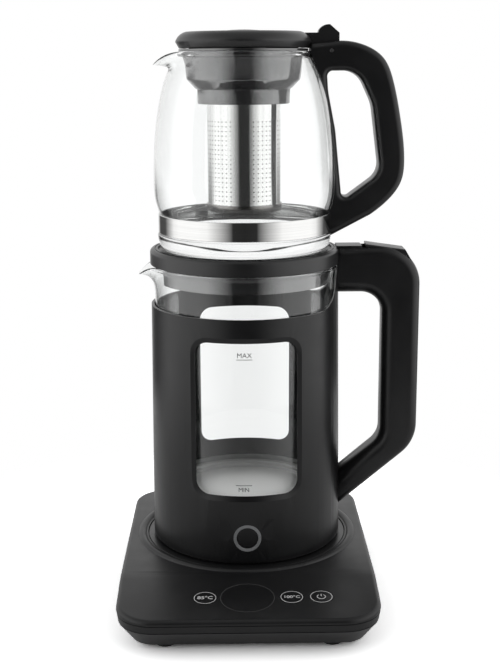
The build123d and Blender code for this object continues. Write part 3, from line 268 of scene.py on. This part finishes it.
def printedInk(name, color):
    mat, tree, bsdf, place = newMaterial(name)
    thin = tuple(c * ink["thin"] for c in color)
    specks = noise(tree, place, *ink["specks"])
    gloss = noise(tree, place, *ink["gloss"])
    dress(tree, bsdf, twoTone(tree, specks, thin, color, *ink["tones"]),
          spread(tree, gloss, *ink["roughness"]))
    return mat


board = {"traces": (160, 5), "dark": (0.01, 0.07, 0.03), "light": (0.02, 0.14, 0.06), "gloss": (400, 2),
         "roughness": (0.3, 0.45)}


def circuitBoard(name):
    mat, tree, bsdf, place = newMaterial(name)
    traces = noise(tree, place, *board["traces"])
    gloss = noise(tree, place, *board["gloss"])
    dress(tree, bsdf, twoTone(tree, traces, board["dark"], board["light"]),
          spread(tree, gloss, *board["roughness"]))
    return mat


satinBlack = mouldedPlastic("satinBlack", (0.007, 0.007, 0.0075), (0.010, 0.010, 0.0105), 0.34, 2200,
                            specular=0.55)
sleeveBlack = mouldedPlastic("sleeveBlack", (0.0045, 0.0045, 0.005), (0.0065, 0.0065, 0.007), 0.31, 2600)
panelBlack = mouldedPlastic("panelBlack", (0.006, 0.006, 0.0065), (0.009, 0.009, 0.0095), 0.36, 2600)
gripBlack = mouldedPlastic("gripBlack", (0.006, 0.006, 0.0065), (0.009, 0.009, 0.0095), 0.32, 2600)
keyBlack = mouldedPlastic("keyBlack", (0.004, 0.004, 0.0045), (0.006, 0.006, 0.0065), 0.30, 3000)
glossBlack = glossPlastic("glossBlack", (0.012, 0.012, 0.0125), (0.016, 0.016, 0.0165), 0.12)
polishedBlack = glossPlastic("polishedBlack", (0.010, 0.010, 0.0105), (0.013, 0.013, 0.0135), 0.04,
                             **{"IOR": 1.9, "Specular IOR Level": 0.85})
displayBlack = mouldedPlastic("displayBlack", (0.006, 0.006, 0.0065), (0.0075, 0.0075, 0.008), 0.33, 2600)
ringGrey = glossPlastic("ringGrey", (0.15, 0.155, 0.16), (0.24, 0.245, 0.25), 0.35)
glassClear = clearGlass("glassClear")
plateSteel = turnedSteel("plateSteel", (0.98, 0.98, 0.97), 0.5)
basketSteel = brushedSteel("basketSteel", (0.80, 0.80, 0.79), 0.08, (420, 420, 4), 0.000002)
capSteel = brushedSteel("capSteel", (0.30, 0.29, 0.28), 0.16, (420, 420, 4), 0.000002)
bandSteel = brushedSteel("bandSteel", (0.70, 0.70, 0.69), 0.045, (5, 5, 900), 0.000003)
screwSteel = brushedSteel("screwSteel", (0.5, 0.5, 0.5), 0.3, (500, 500, 500))
castAluminium = brushedSteel("castAluminium", (0.55, 0.55, 0.56), 0.45, (300, 300, 300))
blackRubber = softRubber("blackRubber", (0.010, 0.010, 0.010), (0.018, 0.018, 0.018))
# the seal's light grey is partly the silicone's own colour and partly a painted highlight along the ring
# around the heater plate
greySiliconeAndHighlight = softRubber("greySiliconeAndHighlight", (0.56, 0.56, 0.55), (0.66, 0.66, 0.65))
innerGrey = mouldedPlastic("innerGrey", (0.16, 0.16, 0.16), (0.2, 0.2, 0.2), 0.5, 1800)
whiteInk = printedInk("whiteInk", (0.72, 0.72, 0.72))
# a grey colour for the painted highlight around the display's edge
rimHighlightGrey = printedInk("rimHighlightGrey", (0.10, 0.10, 0.10))
blackInk = printedInk("blackInk", (0.012, 0.012, 0.012))
boardGreen = circuitBoard("boardGreen")
print("materials made")


# turns a bmesh into a smooth-shaded piece that rides on its body
def finishPiece(name, bm, material, body, replaced=(), angle=35):
    mesh = bpy.data.meshes.new(name)
    bm.to_mesh(mesh)
    bm.free()
    mesh.shade_smooth()
    mesh.set_sharp_from_angle(angle=math.radians(angle))
    obj = bpy.data.objects.new(name, mesh)
    bpy.context.scene.collection.objects.link(obj)
    mesh.materials.append(material)
    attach(obj, body)
    if replaced:
        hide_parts(*replaced)
    return obj


def addSubsurf(obj, levels):
    mod = obj.modifiers.new("smooth", "SUBSURF")
    mod.levels = levels
    mod.render_levels = levels


def addBevel(obj, width, angle):
    mod = obj.modifiers.new("edges", "BEVEL")
    mod.width = width
    mod.segments = 2
    mod.limit_method = "ANGLE"
    mod.angle_limit = math.radians(angle)
    mod.harden_normals = True


# how near two corners are joined, and how flat two faces are merged
welding = {"carried": 2e-6, "made": 1e-6, "print": 1e-7, "flat": math.radians(0.4)}


# a profile in (radius, height), turned about the Z axis
def spun(points, steps, closed=True):
    bm = bmesh.new()
    verts = [bm.verts.new((r, 0, z)) for r, z in points]
    pairs = list(zip(verts, verts[1:])) + ([(verts[-1], verts[0])] if closed else [])
    edges = [bm.edges.new(pair) for pair in pairs]
    bmesh.ops.spin(bm, geom=verts + edges, cent=(0, 0, 0), axis=(0, 0, 1), angle=math.tau, steps=steps,
                   use_merge=True)
    bmesh.ops.remove_doubles(bm, verts=bm.verts, dist=welding["made"])
    bmesh.ops.recalc_face_normals(bm, faces=bm.faces)
    return bm


def smoothStep(value):
    value = max(0.0, min(1.0, value))
    return value * value * (3 - 2 * value)


# a welded, smooth-shaded copy of a CAD node, which it replaces, with its edges eased
def carryOver(node, name, material, slot, bevel, angle=30):
    bm = bmesh.new()
    bm.from_mesh(nodes[node].data)
    bmesh.ops.remove_doubles(bm, verts=bm.verts, dist=welding["carried"])
    bmesh.ops.dissolve_limit(bm, angle_limit=welding["flat"], verts=bm.verts, edges=bm.edges)
    obj = finishPiece(name, bm, material, nodes[node]["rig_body"], (node,), angle)
    addBevel(obj, bevel, angle)


# draws a pouring lip out of a jug's mouth, towards -X
def pullLip(bm, lip, start, rim):
    for v in bm.verts:
        far = math.hypot(v.co.x, v.co.y)
        if far < lip["innerLimit"] or v.co.z < start:
            continue
        turn = abs(math.atan2(v.co.y, -v.co.x))
        side = smoothStep(1 - turn / lip["spread"]) ** lip["sharpness"]
        up = min((v.co.z - start) / (rim - start), 1.0)
        out = lip["reach"] * side * up ** lip["curl"]
        v.co.x *= (far + out) / far
        v.co.y *= (far + out) / far
        v.co.z -= lip["dip"] * side ** lip["arch"] * up ** lip["fall"]


# rows are mm above the jug's foot, and the rim is (radius, depth below the top) in mm, around its bead;
# a lip's spread is half the angle it takes, and its sharpness, curl, arch and fall are powers
kettleJug = {
    "inner": 69.0 * mm, "outer": 70.5 * mm, "steps": 96, "footBevel": 0.5 * mm, "sharpest": 80,
    "rows": (0.8, 24, 64, 104, 139, 162, 170, 174, 177, 180, 182.5, 184.5),
    "rim": [(70.7, 3.4), (71.2, 2.8), (71.5, 1.7), (71.1, 0.5), (70.7, 0), (70.0, 0.1), (69.1, 1.0),
            (69.0, 3.4)],
    "lip": {"innerLimit": 60 * mm, "spread": math.radians(29), "sharpness": 1.2, "reach": 13.0 * mm,
            "dip": 9.6 * mm, "curl": 1.55, "arch": 2.2, "fall": 2.2},
    "lipStart": 237 * mm,
}


def makeKettleJug():
    jug = kettleJug
    low, rim = (corner[2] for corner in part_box("kettle_glass"))
    inner, outer = jug["inner"], jug["outer"]
    points = [
        (inner + jug["footBevel"], low), (outer - jug["footBevel"], low),
        *[(outer, low + row * mm) for row in jug["rows"]],
        *[(r * mm, rim - deep * mm) for r, deep in jug["rim"]],
        *[(inner, low + row * mm) for row in reversed(jug["rows"])],
    ]
    bm = spun(points, jug["steps"])
    pullLip(bm, jug["lip"], jug["lipStart"], rim)
    obj = finishPiece("kettleJug", bm, glassClear, "kettle", ("kettle_glass",),
                      jug["sharpest"])
    addSubsurf(obj, 1)


# (radius, height above the foot) in mm, from the axis under the foot, up the outside, over the
# rim and down to the axis on the thick floor; the inner wall follows the side from its third point
teapotJug = {
    "wall": 1.6, "steps": 96, "sharpest": 80, "innerFrom": 2,
    "foot": [(57.0, 1.4), (58.2, 0.3), (60.0, 0), (63.0, 0), (65.0, 1.6), (66.4, 5.0), (67.1, 9.6),
             (67.2, 12.6), (66.4, 13.6)],
    "side": [(65.7, 14.6), (65.6, 18), (65.6, 24), (65.7, 27.6), (66.3, 29.6), (67.7, 33.5), (69.1, 39),
             (69.65, 46), (69.6, 57), (69.0, 72), (67.9, 88), (65.8, 104), (62.7, 119.5), (59.7, 129),
             (57.8, 133.4), (56.8, 135.4), (55.8, 137.4), (54.8, 139.2), (53.8, 141), (52.9, 142.8),
             (52.0, 144.6)],
    "rim": [(51.2, 146.2), (51.6, 147.1), (51.7, 148.1), (51.0, 149.0), (49.6, 149.1), (48.5, 148.6),
            (48.4, 147.0)],
    "floor": [(63.6, 22), (62.8, 16.5), (60.4, 12.4), (56.0, 10.4), (48, 9.8), (32, 9.6), (16, 9.6), (6, 9.6),
              (0, 9.6)],
    "under": [(0, 2.2), (6, 2.2), (16, 2.2), (32, 2.1), (50, 1.7)],
    "lip": {"innerLimit": 40 * mm, "spread": math.radians(36), "sharpness": 1.1, "reach": 18.4 * mm,
            "dip": 10.4 * mm, "curl": 1.0, "arch": 2.4, "fall": 1.3},
    "lipStart": 403 * mm,
}


def makeTeapotJug():
    jug = teapotJug
    low, rim = (corner[2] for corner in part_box("teapot_glass"))
    inside = [(r - jug["wall"], h) for r, h in reversed(jug["side"][jug["innerFrom"]:])]
    rows = jug["under"] + jug["foot"] + jug["side"] + jug["rim"] + inside + jug["floor"]
    bm = spun([(r * mm, low + h * mm) for r, h in rows], jug["steps"], closed=False)
    pullLip(bm, jug["lip"], jug["lipStart"], rim)
    obj = finishPiece("teapotJug", bm, glassClear, "teapot", ("teapot_glass",),
                      jug["sharpest"])
    addSubsurf(obj, 1)


makeKettleJug()
makeTeapotJug()
print("glass made")

basket = {
    "radius": 28 * mm, "wall": 0.5 * mm, "firstRow": 4.6 * mm, "rowPitch": 3.45 * mm, "rows": 19,
    "columns": 50, "hole": 0.54 * mm, "holeSides": 8, "seam": math.radians(-7), "seamColumns": 3,
    "sharpest": 50,
}


# a steel tube of punched cells: one cell is a ring around its hole, pulled out to a rectangle;
# a few columns at the front stay closed, where the tube is welded
def makeBasket():
    b = basket
    low, high = (corner[2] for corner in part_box("infuser_basket"))
    turn = math.tau / b["columns"]
    halfWide = b["radius"] * math.tan(turn / 2)
    halfHigh = b["rowPitch"] / 2
    bm = bmesh.new()
    hole = bmesh.ops.create_circle(bm, cap_ends=False, segments=b["holeSides"], radius=b["hole"])["verts"]
    made = bmesh.ops.extrude_edge_only(bm, edges=list({e for v in hole for e in v.link_edges}))["geom"]
    for v in made:
        if isinstance(v, bmesh.types.BMVert):
            across = 0 if abs(v.co.x) < b["hole"] / 4 else math.copysign(halfWide, v.co.x)
            along = 0 if abs(v.co.y) < b["hole"] / 4 else math.copysign(halfHigh, v.co.y)
            v.co = (across, along, 0)
    bmesh.ops.rotate(bm, cent=(0, 0, 0), matrix=Matrix.Rotation(math.pi / 2, 3, "X"), verts=bm.verts)
    bmesh.ops.translate(bm, vec=(0, -b["radius"], low + b["firstRow"]), verts=bm.verts)
    cell = list(bm.verts) + list(bm.edges) + list(bm.faces)
    for row in range(1, b["rows"]):
        copied = bmesh.ops.duplicate(bm, geom=cell)["geom"]
        bmesh.ops.translate(bm, vec=(0, 0, row * b["rowPitch"]),
                            verts=[v for v in copied if isinstance(v, bmesh.types.BMVert)])
    bmesh.ops.remove_doubles(bm, verts=bm.verts, dist=welding["made"])
    punchedLow = low + b["firstRow"] - halfHigh
    punchedHigh = low + b["firstRow"] + (b["rows"] - 0.5) * b["rowPitch"]
    ends = {low: punchedLow, high: punchedHigh}
    for end, edge in ends.items():
        rim = [e for e in bm.edges if all(abs(v.co.z - edge) < welding["made"] for v in e.verts)]
        made = bmesh.ops.extrude_edge_only(bm, edges=rim)["geom"]
        for v in made:
            if isinstance(v, bmesh.types.BMVert):
                v.co.z = end
    strip = list(bm.verts) + list(bm.edges) + list(bm.faces)
    bmesh.ops.spin(bm, geom=strip, cent=(0, 0, 0), axis=(0, 0, 1), angle=math.tau, steps=b["columns"],
                   use_duplicate=True)
    bmesh.ops.remove_doubles(bm, verts=bm.verts, dist=welding["made"])
    closed = []
    for e in bm.edges:
        middle = (e.verts[0].co + e.verts[1].co) / 2
        away = abs(math.atan2(middle.x, -middle.y))
        if e.is_boundary and low < middle.z < high and away < b["seamColumns"] * turn / 2:
            closed.append(e)
    bmesh.ops.holes_fill(bm, edges=closed, sides=b["holeSides"])
    bmesh.ops.rotate(bm, cent=(0, 0, 0), matrix=Matrix.Rotation(b["seam"], 3, "Z"), verts=bm.verts)
    for v in bm.verts:
        far = math.hypot(v.co.x, v.co.y)
        v.co.x *= b["radius"] / far
        v.co.y *= b["radius"] / far
    bmesh.ops.recalc_face_normals(bm, faces=bm.faces)
    bmesh.ops.solidify(bm, geom=bm.faces, thickness=b["wall"])
    finishPiece("infuserBasket", bm, basketSteel, "teapot", ("infuser_basket",),
                b["sharpest"])


makeBasket()
print("basket made")

# node, piece name, finish, slot, eased edge in mm, then the least angle of an edge if it isn't 30
carried = [
    ("base_top_cover", "baseTop", panelBlack, "black_plastic", 0.25),
    ("base_bottom_cover", "baseBottom", satinBlack, "black_plastic", 0.3),
    ("rubber_feet", "feet", blackRubber, "rubber", 0.3),
    ("seat_disc", "seatDisc", satinBlack, "black_plastic", 0.2),
    ("base_connector", "connectorHub", glossBlack, "gloss_black", 0.3),
    ("display_lens", "displayWindow", displayBlack, "display_gloss", 0.15),
    ("cord_gland", "cordGland", satinBlack, "black_plastic", 0.3),
    ("kettle_sleeve", "sleeve", sleeveBlack, "black_plastic", 0.25, 14),
    ("kettle_bottom_cover", "kettleBottom", satinBlack, "black_plastic", 0.2),
    ("heater_plate", "heaterPlate", plateSteel, "brushed_steel", 0.3),
    ("glass_seal", "glassSeal", greySiliconeAndHighlight, "seal_silicone", 0.2),
    ("start_button", "startButton", keyBlack, "key_plastic", 0.3),
    ("button_ring", "buttonRing", ringGrey, "ring_trim", 0.15),
    ("handle_front_shell", "handleFront", gripBlack, "black_plastic", 0.15),
    ("handle_rear_shell", "handleRear", gripBlack, "black_plastic", 0.15),
    ("handle_top_cap", "handleCap", gripBlack, "black_plastic", 0.15),
    ("thumb_lever", "thumbLever", satinBlack, "black_plastic", 0.4),
    ("kettle_lid", "kettleLid", satinBlack, "black_plastic", 0.25),
    ("kettle_lid_skirt", "lidSkirt", polishedBlack, "gloss_black", 0.25),
    ("kettle_lid_gasket", "lidGasket", blackRubber, "rubber", 0.2),
    ("teapot_band", "teapotBand", bandSteel, "band_steel", 0.2),
    ("teapot_handle", "teapotHandle", gripBlack, "black_plastic", 0.15),
    ("infuser_collar", "infuserCollar", polishedBlack, "gloss_black", 0.3),
    ("infuser_cap", "infuserCap", capSteel, "basket_steel", 0.15),
    ("teapot_lid", "teapotLid", satinBlack, "black_plastic", 0.3),
    ("lid_liner", "lidLiner", polishedBlack, "gloss_black", 0.3),
    ("lid_cap", "lidDome", satinBlack, "black_plastic", 0.15),
    ("lid_thumb_tab", "lidTab", satinBlack, "black_plastic", 0.5),
    ("key_keep_warm", "keepWarmKey", keyBlack, "key_plastic", 0.1),
    ("key_boil", "boilKey", keyBlack, "key_plastic", 0.1),
    ("key_power", "powerKey", keyBlack, "key_plastic", 0.1),
]
for node, name, material, slot, edge, *angle in carried:
    carryOver(node, name, material, slot, edge * mm, *angle)

plainFinish = {
    screwSteel: ["base_screws", "kettle_screws", "handle_screws", "band_screw", "lever_pin", "lever_spring",
                 "teapot_hinge_pin"],
    castAluminium: ["heating_element"],
    boardGreen: ["control_board", "power_board"],
    glossBlack: ["kettle_connector"],
    innerGrey: ["display_module", "key_switches", "power_relay", "thermostat", "heater_support",
                "button_switch", "button_bracket"],
}
for material, names in plainFinish.items():
    for node in names:
        nodes[node].data.materials.clear()
        nodes[node].data.materials.append(material)
print("pieces carried over")

# the panel falls towards the front, from the seat's level
panel = {
    "rowY": -125 * mm, "top": 33.5 * mm, "start": 90 * mm, "fall": 6.0 / 68, "keyProud": 0.25 * mm,
    "ink": 0.03 * mm,  # how thick a print is
}
panelHeight = panel["top"] - (-panel["rowY"] - panel["start"]) * panel["fall"]
panelPlace = (Matrix.Translation((0, panel["rowY"], panelHeight))
              @ Matrix.Rotation(math.atan(panel["fall"]), 4, "X"))


def inkPiece(name, bm, matrix, material, body):
    bmesh.ops.transform(bm, matrix=matrix, verts=bm.verts)
    return finishPiece(name, bm, material, body)


# flat lettering, centred on the origin, as thick as a print
def textMesh(text, size, weight):
    curve = bpy.data.curves.new("lettering", "FONT")
    curve.body = text
    curve.size = size
    curve.align_x = "CENTER"
    curve.align_y = "CENTER"
    curve.extrude = panel["ink"] / 2
    curve.offset = size * weight
    holder = bpy.data.objects.new("lettering", curve)
    bpy.context.scene.collection.objects.link(holder)
    bpy.context.view_layer.update()
    mesh = bpy.data.meshes.new_from_object(holder.evaluated_get(bpy.context.evaluated_depsgraph_get()))
    bm = bmesh.new()
    bm.from_mesh(mesh)
    bpy.data.objects.remove(holder)
    bpy.data.curves.remove(curve)
    bpy.data.meshes.remove(mesh)
    return bm


# a thin printed ring, or an arc of one, flat in XY
def flatRing(outer, inner, start=0.0, turn=math.tau, steps=48):
    bm = bmesh.new()
    half = panel["ink"] / 2
    spots = [(inner, -half), (outer, -half), (outer, half), (inner, half)]
    verts = [bm.verts.new((r * math.cos(start), r * math.sin(start), z)) for r, z in spots]
    face = bm.faces.new(verts)
    if turn == math.tau:
        edges = list(face.edges)
        bmesh.ops.delete(bm, geom=[face], context="FACES_ONLY")
        bmesh.ops.spin(bm, geom=verts + edges, axis=(0, 0, 1), angle=turn, steps=steps, use_merge=True)
        bmesh.ops.remove_doubles(bm, verts=bm.verts, dist=welding["print"])
    else:
        bmesh.ops.spin(bm, geom=[face] + verts + list(face.edges), axis=(0, 0, 1), angle=turn, steps=steps)
    bmesh.ops.recalc_face_normals(bm, faces=bm.faces)
    return bm


def bar(width, height):
    bm = bmesh.new()
    bmesh.ops.create_cube(bm, size=1)
    bmesh.ops.scale(bm, vec=(width, height, panel["ink"]), verts=bm.verts)
    return bm


keyMarks = {
    "keepWarm": {"node": "key_keep_warm", "body": "keep_warm_key", "text": "85\u00b0C", "size": 5.4 * mm},
    "boil": {"node": "key_boil", "body": "boil_key", "text": "100\u00b0C", "size": 4.7 * mm},
    "power": {"node": "key_power", "body": "power_key", "text": ""},
}
keyRing = {"outer": 8.05 * mm, "inner": 7.6 * mm, "numberWeight": 0.014}
powerMark = {"outer": 3.3 * mm, "inner": 2.7 * mm, "gap": math.radians(70), "arcSteps": 32,
             "bar": (0.6 * mm, 3.2 * mm), "barRise": 2.2 * mm}
# a thin grey ring at the display's rim is a painted highlight on the lens edge, not a print
displayEdgeHighlight = {"width": 0.3 * mm, "proud": 0.05 * mm, "steps": 96}


def middleX(node):
    low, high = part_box(node)
    return (low[0] + high[0]) / 2


def markKeys():
    lift = panel["keyProud"] + panel["ink"] / 2
    for name, key in keyMarks.items():
        place = panelPlace @ Matrix.Translation((middleX(key["node"]), 0, lift))
        inkPiece(name + "Ring", flatRing(keyRing["outer"], keyRing["inner"]), place, whiteInk, key["body"])
        if key["text"]:
            number = textMesh(key["text"], key["size"], keyRing["numberWeight"])
            inkPiece(name + "Number", number, place, whiteInk, key["body"])
    power = keyMarks["power"]
    place = panelPlace @ Matrix.Translation((middleX(power["node"]), 0, lift))
    gap = powerMark["gap"]
    arc = flatRing(powerMark["outer"], powerMark["inner"], math.pi / 2 + gap / 2, math.tau - gap,
                   powerMark["arcSteps"])
    inkPiece("powerArc", arc, place, whiteInk, power["body"])
    inkPiece("powerBar", bar(*powerMark["bar"]), place @ Matrix.Translation((0, powerMark["barRise"], 0)),
             whiteInk, power["body"])
    # painted highlight: a thin grey ring laid around the display lens where its edge catches light
    low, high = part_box("display_lens")
    outer = (high[0] - low[0]) / 2
    lift = displayEdgeHighlight["proud"] + panel["ink"] / 2
    inkPiece("displayRimHighlight", flatRing(outer, outer - displayEdgeHighlight["width"], steps=displayEdgeHighlight["steps"]),
             panelPlace @ Matrix.Translation((middleX("display_lens"), 0, lift)), rimHighlightGrey, "base")


markKeys()

levels = {
    "upper": {"line": 193.5 * mm, "text": "MAX", "textOffset": 3.1 * mm, "size": 5.2 * mm, "turn": -0.021},
    "lower": {"line": 95.8 * mm, "text": "MIN", "textOffset": -3.5 * mm, "size": 4.7 * mm, "turn": -0.034},
}
# the print lies just on the jug's outer face
levelPrint = {"radius": 70.52 * mm, "width": 12 * mm, "thick": 0.45 * mm, "numberWeight": 0.0,
              "longest": 4 * mm, "cuts": 6}


# stands flat print up on the front of the glass and bends it around
def wrapOnGlass(bm, height, turned):
    long = [e for e in bm.edges if e.calc_length() > levelPrint["longest"]]
    bmesh.ops.subdivide_edges(bm, edges=long, cuts=levelPrint["cuts"])
    for v in bm.verts:
        far = levelPrint["radius"] + v.co.z
        turn = v.co.x / far + turned
        v.co = Vector((far * math.sin(turn), -far * math.cos(turn), height + v.co.y))
    return bm


def markLevels():
    for name, level in levels.items():
        line = wrapOnGlass(bar(levelPrint["width"], levelPrint["thick"]), level["line"], level["turn"])
        inkPiece(name + "LevelLine", line, Matrix.Identity(4), blackInk, "kettle")
        number = textMesh(level["text"], level["size"], levelPrint["numberWeight"])
        number = wrapOnGlass(number, level["line"] + level["textOffset"], level["turn"])
        inkPiece(name + "LevelNumber", number, Matrix.Identity(4), blackInk, "kettle")


markLevels()
print("marks printed")

# white to the camera and through glass; for reflections and light a room with bright sides,
# dark behind the camera, given as (share of a half turn away from the camera, brightness),
# with low dark cards behind the object
studio = {
    "floorRadius": 0.60, "floorSides": 128,
    "floorColor": (0.80, 0.80, 0.80, 1),
    "seenColor": (2.1, 2.1, 2.1, 1), "nearRadius": 0.19, "farRadius": 0.34,
    "room": [(0.0, 0.02), (0.086, 0.025), (0.102, 0.13), (0.125, 0.24), (0.18, 0.5), (0.28, 0.95),
             (0.36, 1.0), (0.54, 1.0), (0.64, 0.8), (0.80, 0.6), (1.0, 0.7)],
    "roomLevel": 1.45,
    "cards": [(0.60, 0.0), (0.72, 0.9), (0.84, 0.9), (0.91, 0.0)],
    "cardTop": -0.06, "cardFull": -0.12,
    "overhead": 0.5, "overheadStart": 0.55, "overheadFull": 0.95,
}


def makeFloor():
    bm = bmesh.new()
    bmesh.ops.create_circle(bm, cap_ends=True, segments=studio["floorSides"], radius=studio["floorRadius"])
    mesh = bpy.data.meshes.new("floor")
    bm.to_mesh(mesh)
    bm.free()
    floor = bpy.data.objects.new("floor", mesh)
    bpy.context.scene.collection.objects.link(floor)
    mat = bpy.data.materials.new("floorPaper")
    mat.use_nodes = True
    tree = mat.node_tree
    tree.nodes.remove(tree.nodes["Principled BSDF"])
    matt = addNode(tree, "ShaderNodeBsdfDiffuse", {"Color": studio["floorColor"]}).outputs[0]
    near = addNode(tree, "ShaderNodeBsdfDiffuse", {"Color": studio["seenColor"]}).outputs[0]
    clear = addNode(tree, "ShaderNodeBsdfTransparent").outputs[0]
    place = addNode(tree, "ShaderNodeTexCoord").outputs["Object"]
    far = addNode(tree, "ShaderNodeVectorMath", {0: place}, operation="LENGTH").outputs["Value"]
    fade = addNode(tree, "ShaderNodeMapRange", {"Value": far, "From Min": studio["nearRadius"],
                                                "From Max": studio["farRadius"]},
                   interpolation_type="SMOOTHSTEP").outputs["Result"]
    shown = addNode(tree, "ShaderNodeMixShader", {0: fade, 1: near, 2: clear}).outputs[0]
    path = addNode(tree, "ShaderNodeLightPath").outputs
    seen = addNode(tree, "ShaderNodeMath", {0: path["Is Camera Ray"], 1: path["Is Transmission Ray"]},
                   operation="MAXIMUM").outputs[0]
    both = addNode(tree, "ShaderNodeMixShader", {0: seen, 1: matt, 2: shown}).outputs[0]
    tree.links.new(both, tree.nodes["Material Output"].inputs["Surface"])
    mesh.materials.append(mat)


def roomRamp(tree, turn, stopList):
    ramp = addNode(tree, "ShaderNodeValToRGB", {"Fac": turn})
    stops = ramp.color_ramp.elements
    while len(stops) < len(stopList):
        stops.new(0.5)
    for stop, (share, bright) in zip(stops, stopList):
        stop.position = share
        stop.color = (bright, bright, bright, 1)
    return ramp.outputs["Color"]


def makeRoom():
    world = bpy.data.worlds.new("studio")
    world.use_nodes = True
    bpy.context.scene.world = world
    tree = world.node_tree
    path = addNode(tree, "ShaderNodeLightPath").outputs
    towards = addNode(tree, "ShaderNodeSeparateXYZ",
                      {0: addNode(tree, "ShaderNodeTexCoord").outputs["Generated"]}).outputs
    front = addNode(tree, "ShaderNodeMath", {0: towards["Y"], 1: -1.0}, operation="MULTIPLY").outputs[0]
    turn = addNode(tree, "ShaderNodeMath", {0: towards["X"], 1: front}, operation="ARCTAN2").outputs[0]
    turn = addNode(tree, "ShaderNodeMath", {0: turn}, operation="ABSOLUTE").outputs[0]
    turn = addNode(tree, "ShaderNodeMath", {0: turn, 1: math.pi}, operation="DIVIDE").outputs[0]
    low = spread(tree, towards["Z"], 1.0, 0.0, studio["cardFull"], studio["cardTop"])
    card = addNode(tree, "ShaderNodeMath", {0: roomRamp(tree, turn, studio["cards"]), 1: low},
                   operation="MULTIPLY").outputs[0]
    level = spread(tree, card, studio["roomLevel"], 0.0, 0.0, 1.0)
    sides = addNode(tree, "ShaderNodeMath", {0: roomRamp(tree, turn, studio["room"]), 1: level},
                    operation="MULTIPLY").outputs[0]
    height = spread(tree, towards["Z"], 0.0, 1.0, studio["overheadStart"], studio["overheadFull"])
    room = addNode(tree, "ShaderNodeMix", {"Factor": height, "A": sides, "B": studio["overhead"]})
    bounces = addNode(tree, "ShaderNodeMath", {0: path["Glossy Depth"], 1: path["Diffuse Depth"]},
                      operation="ADD").outputs[0]
    direct = addNode(tree, "ShaderNodeMath", {0: bounces, 1: 0.5}, operation="LESS_THAN").outputs[0]
    through = addNode(tree, "ShaderNodeMath", {0: path["Is Transmission Ray"], 1: direct},
                      operation="MULTIPLY").outputs[0]
    white = addNode(tree, "ShaderNodeMath", {0: path["Is Camera Ray"], 1: through}, operation="MAXIMUM")
    strength = addNode(tree, "ShaderNodeMix", {"Factor": white.outputs[0], "A": room.outputs["Result"],
                                               "B": 1.0}).outputs["Result"]
    tree.links.new(strength, tree.nodes["Background"].inputs["Strength"])
    tree.nodes["Background"].inputs["Color"].default_value = (1, 1, 1, 1)


makeFloor()
makeRoom()
print("studio lit")
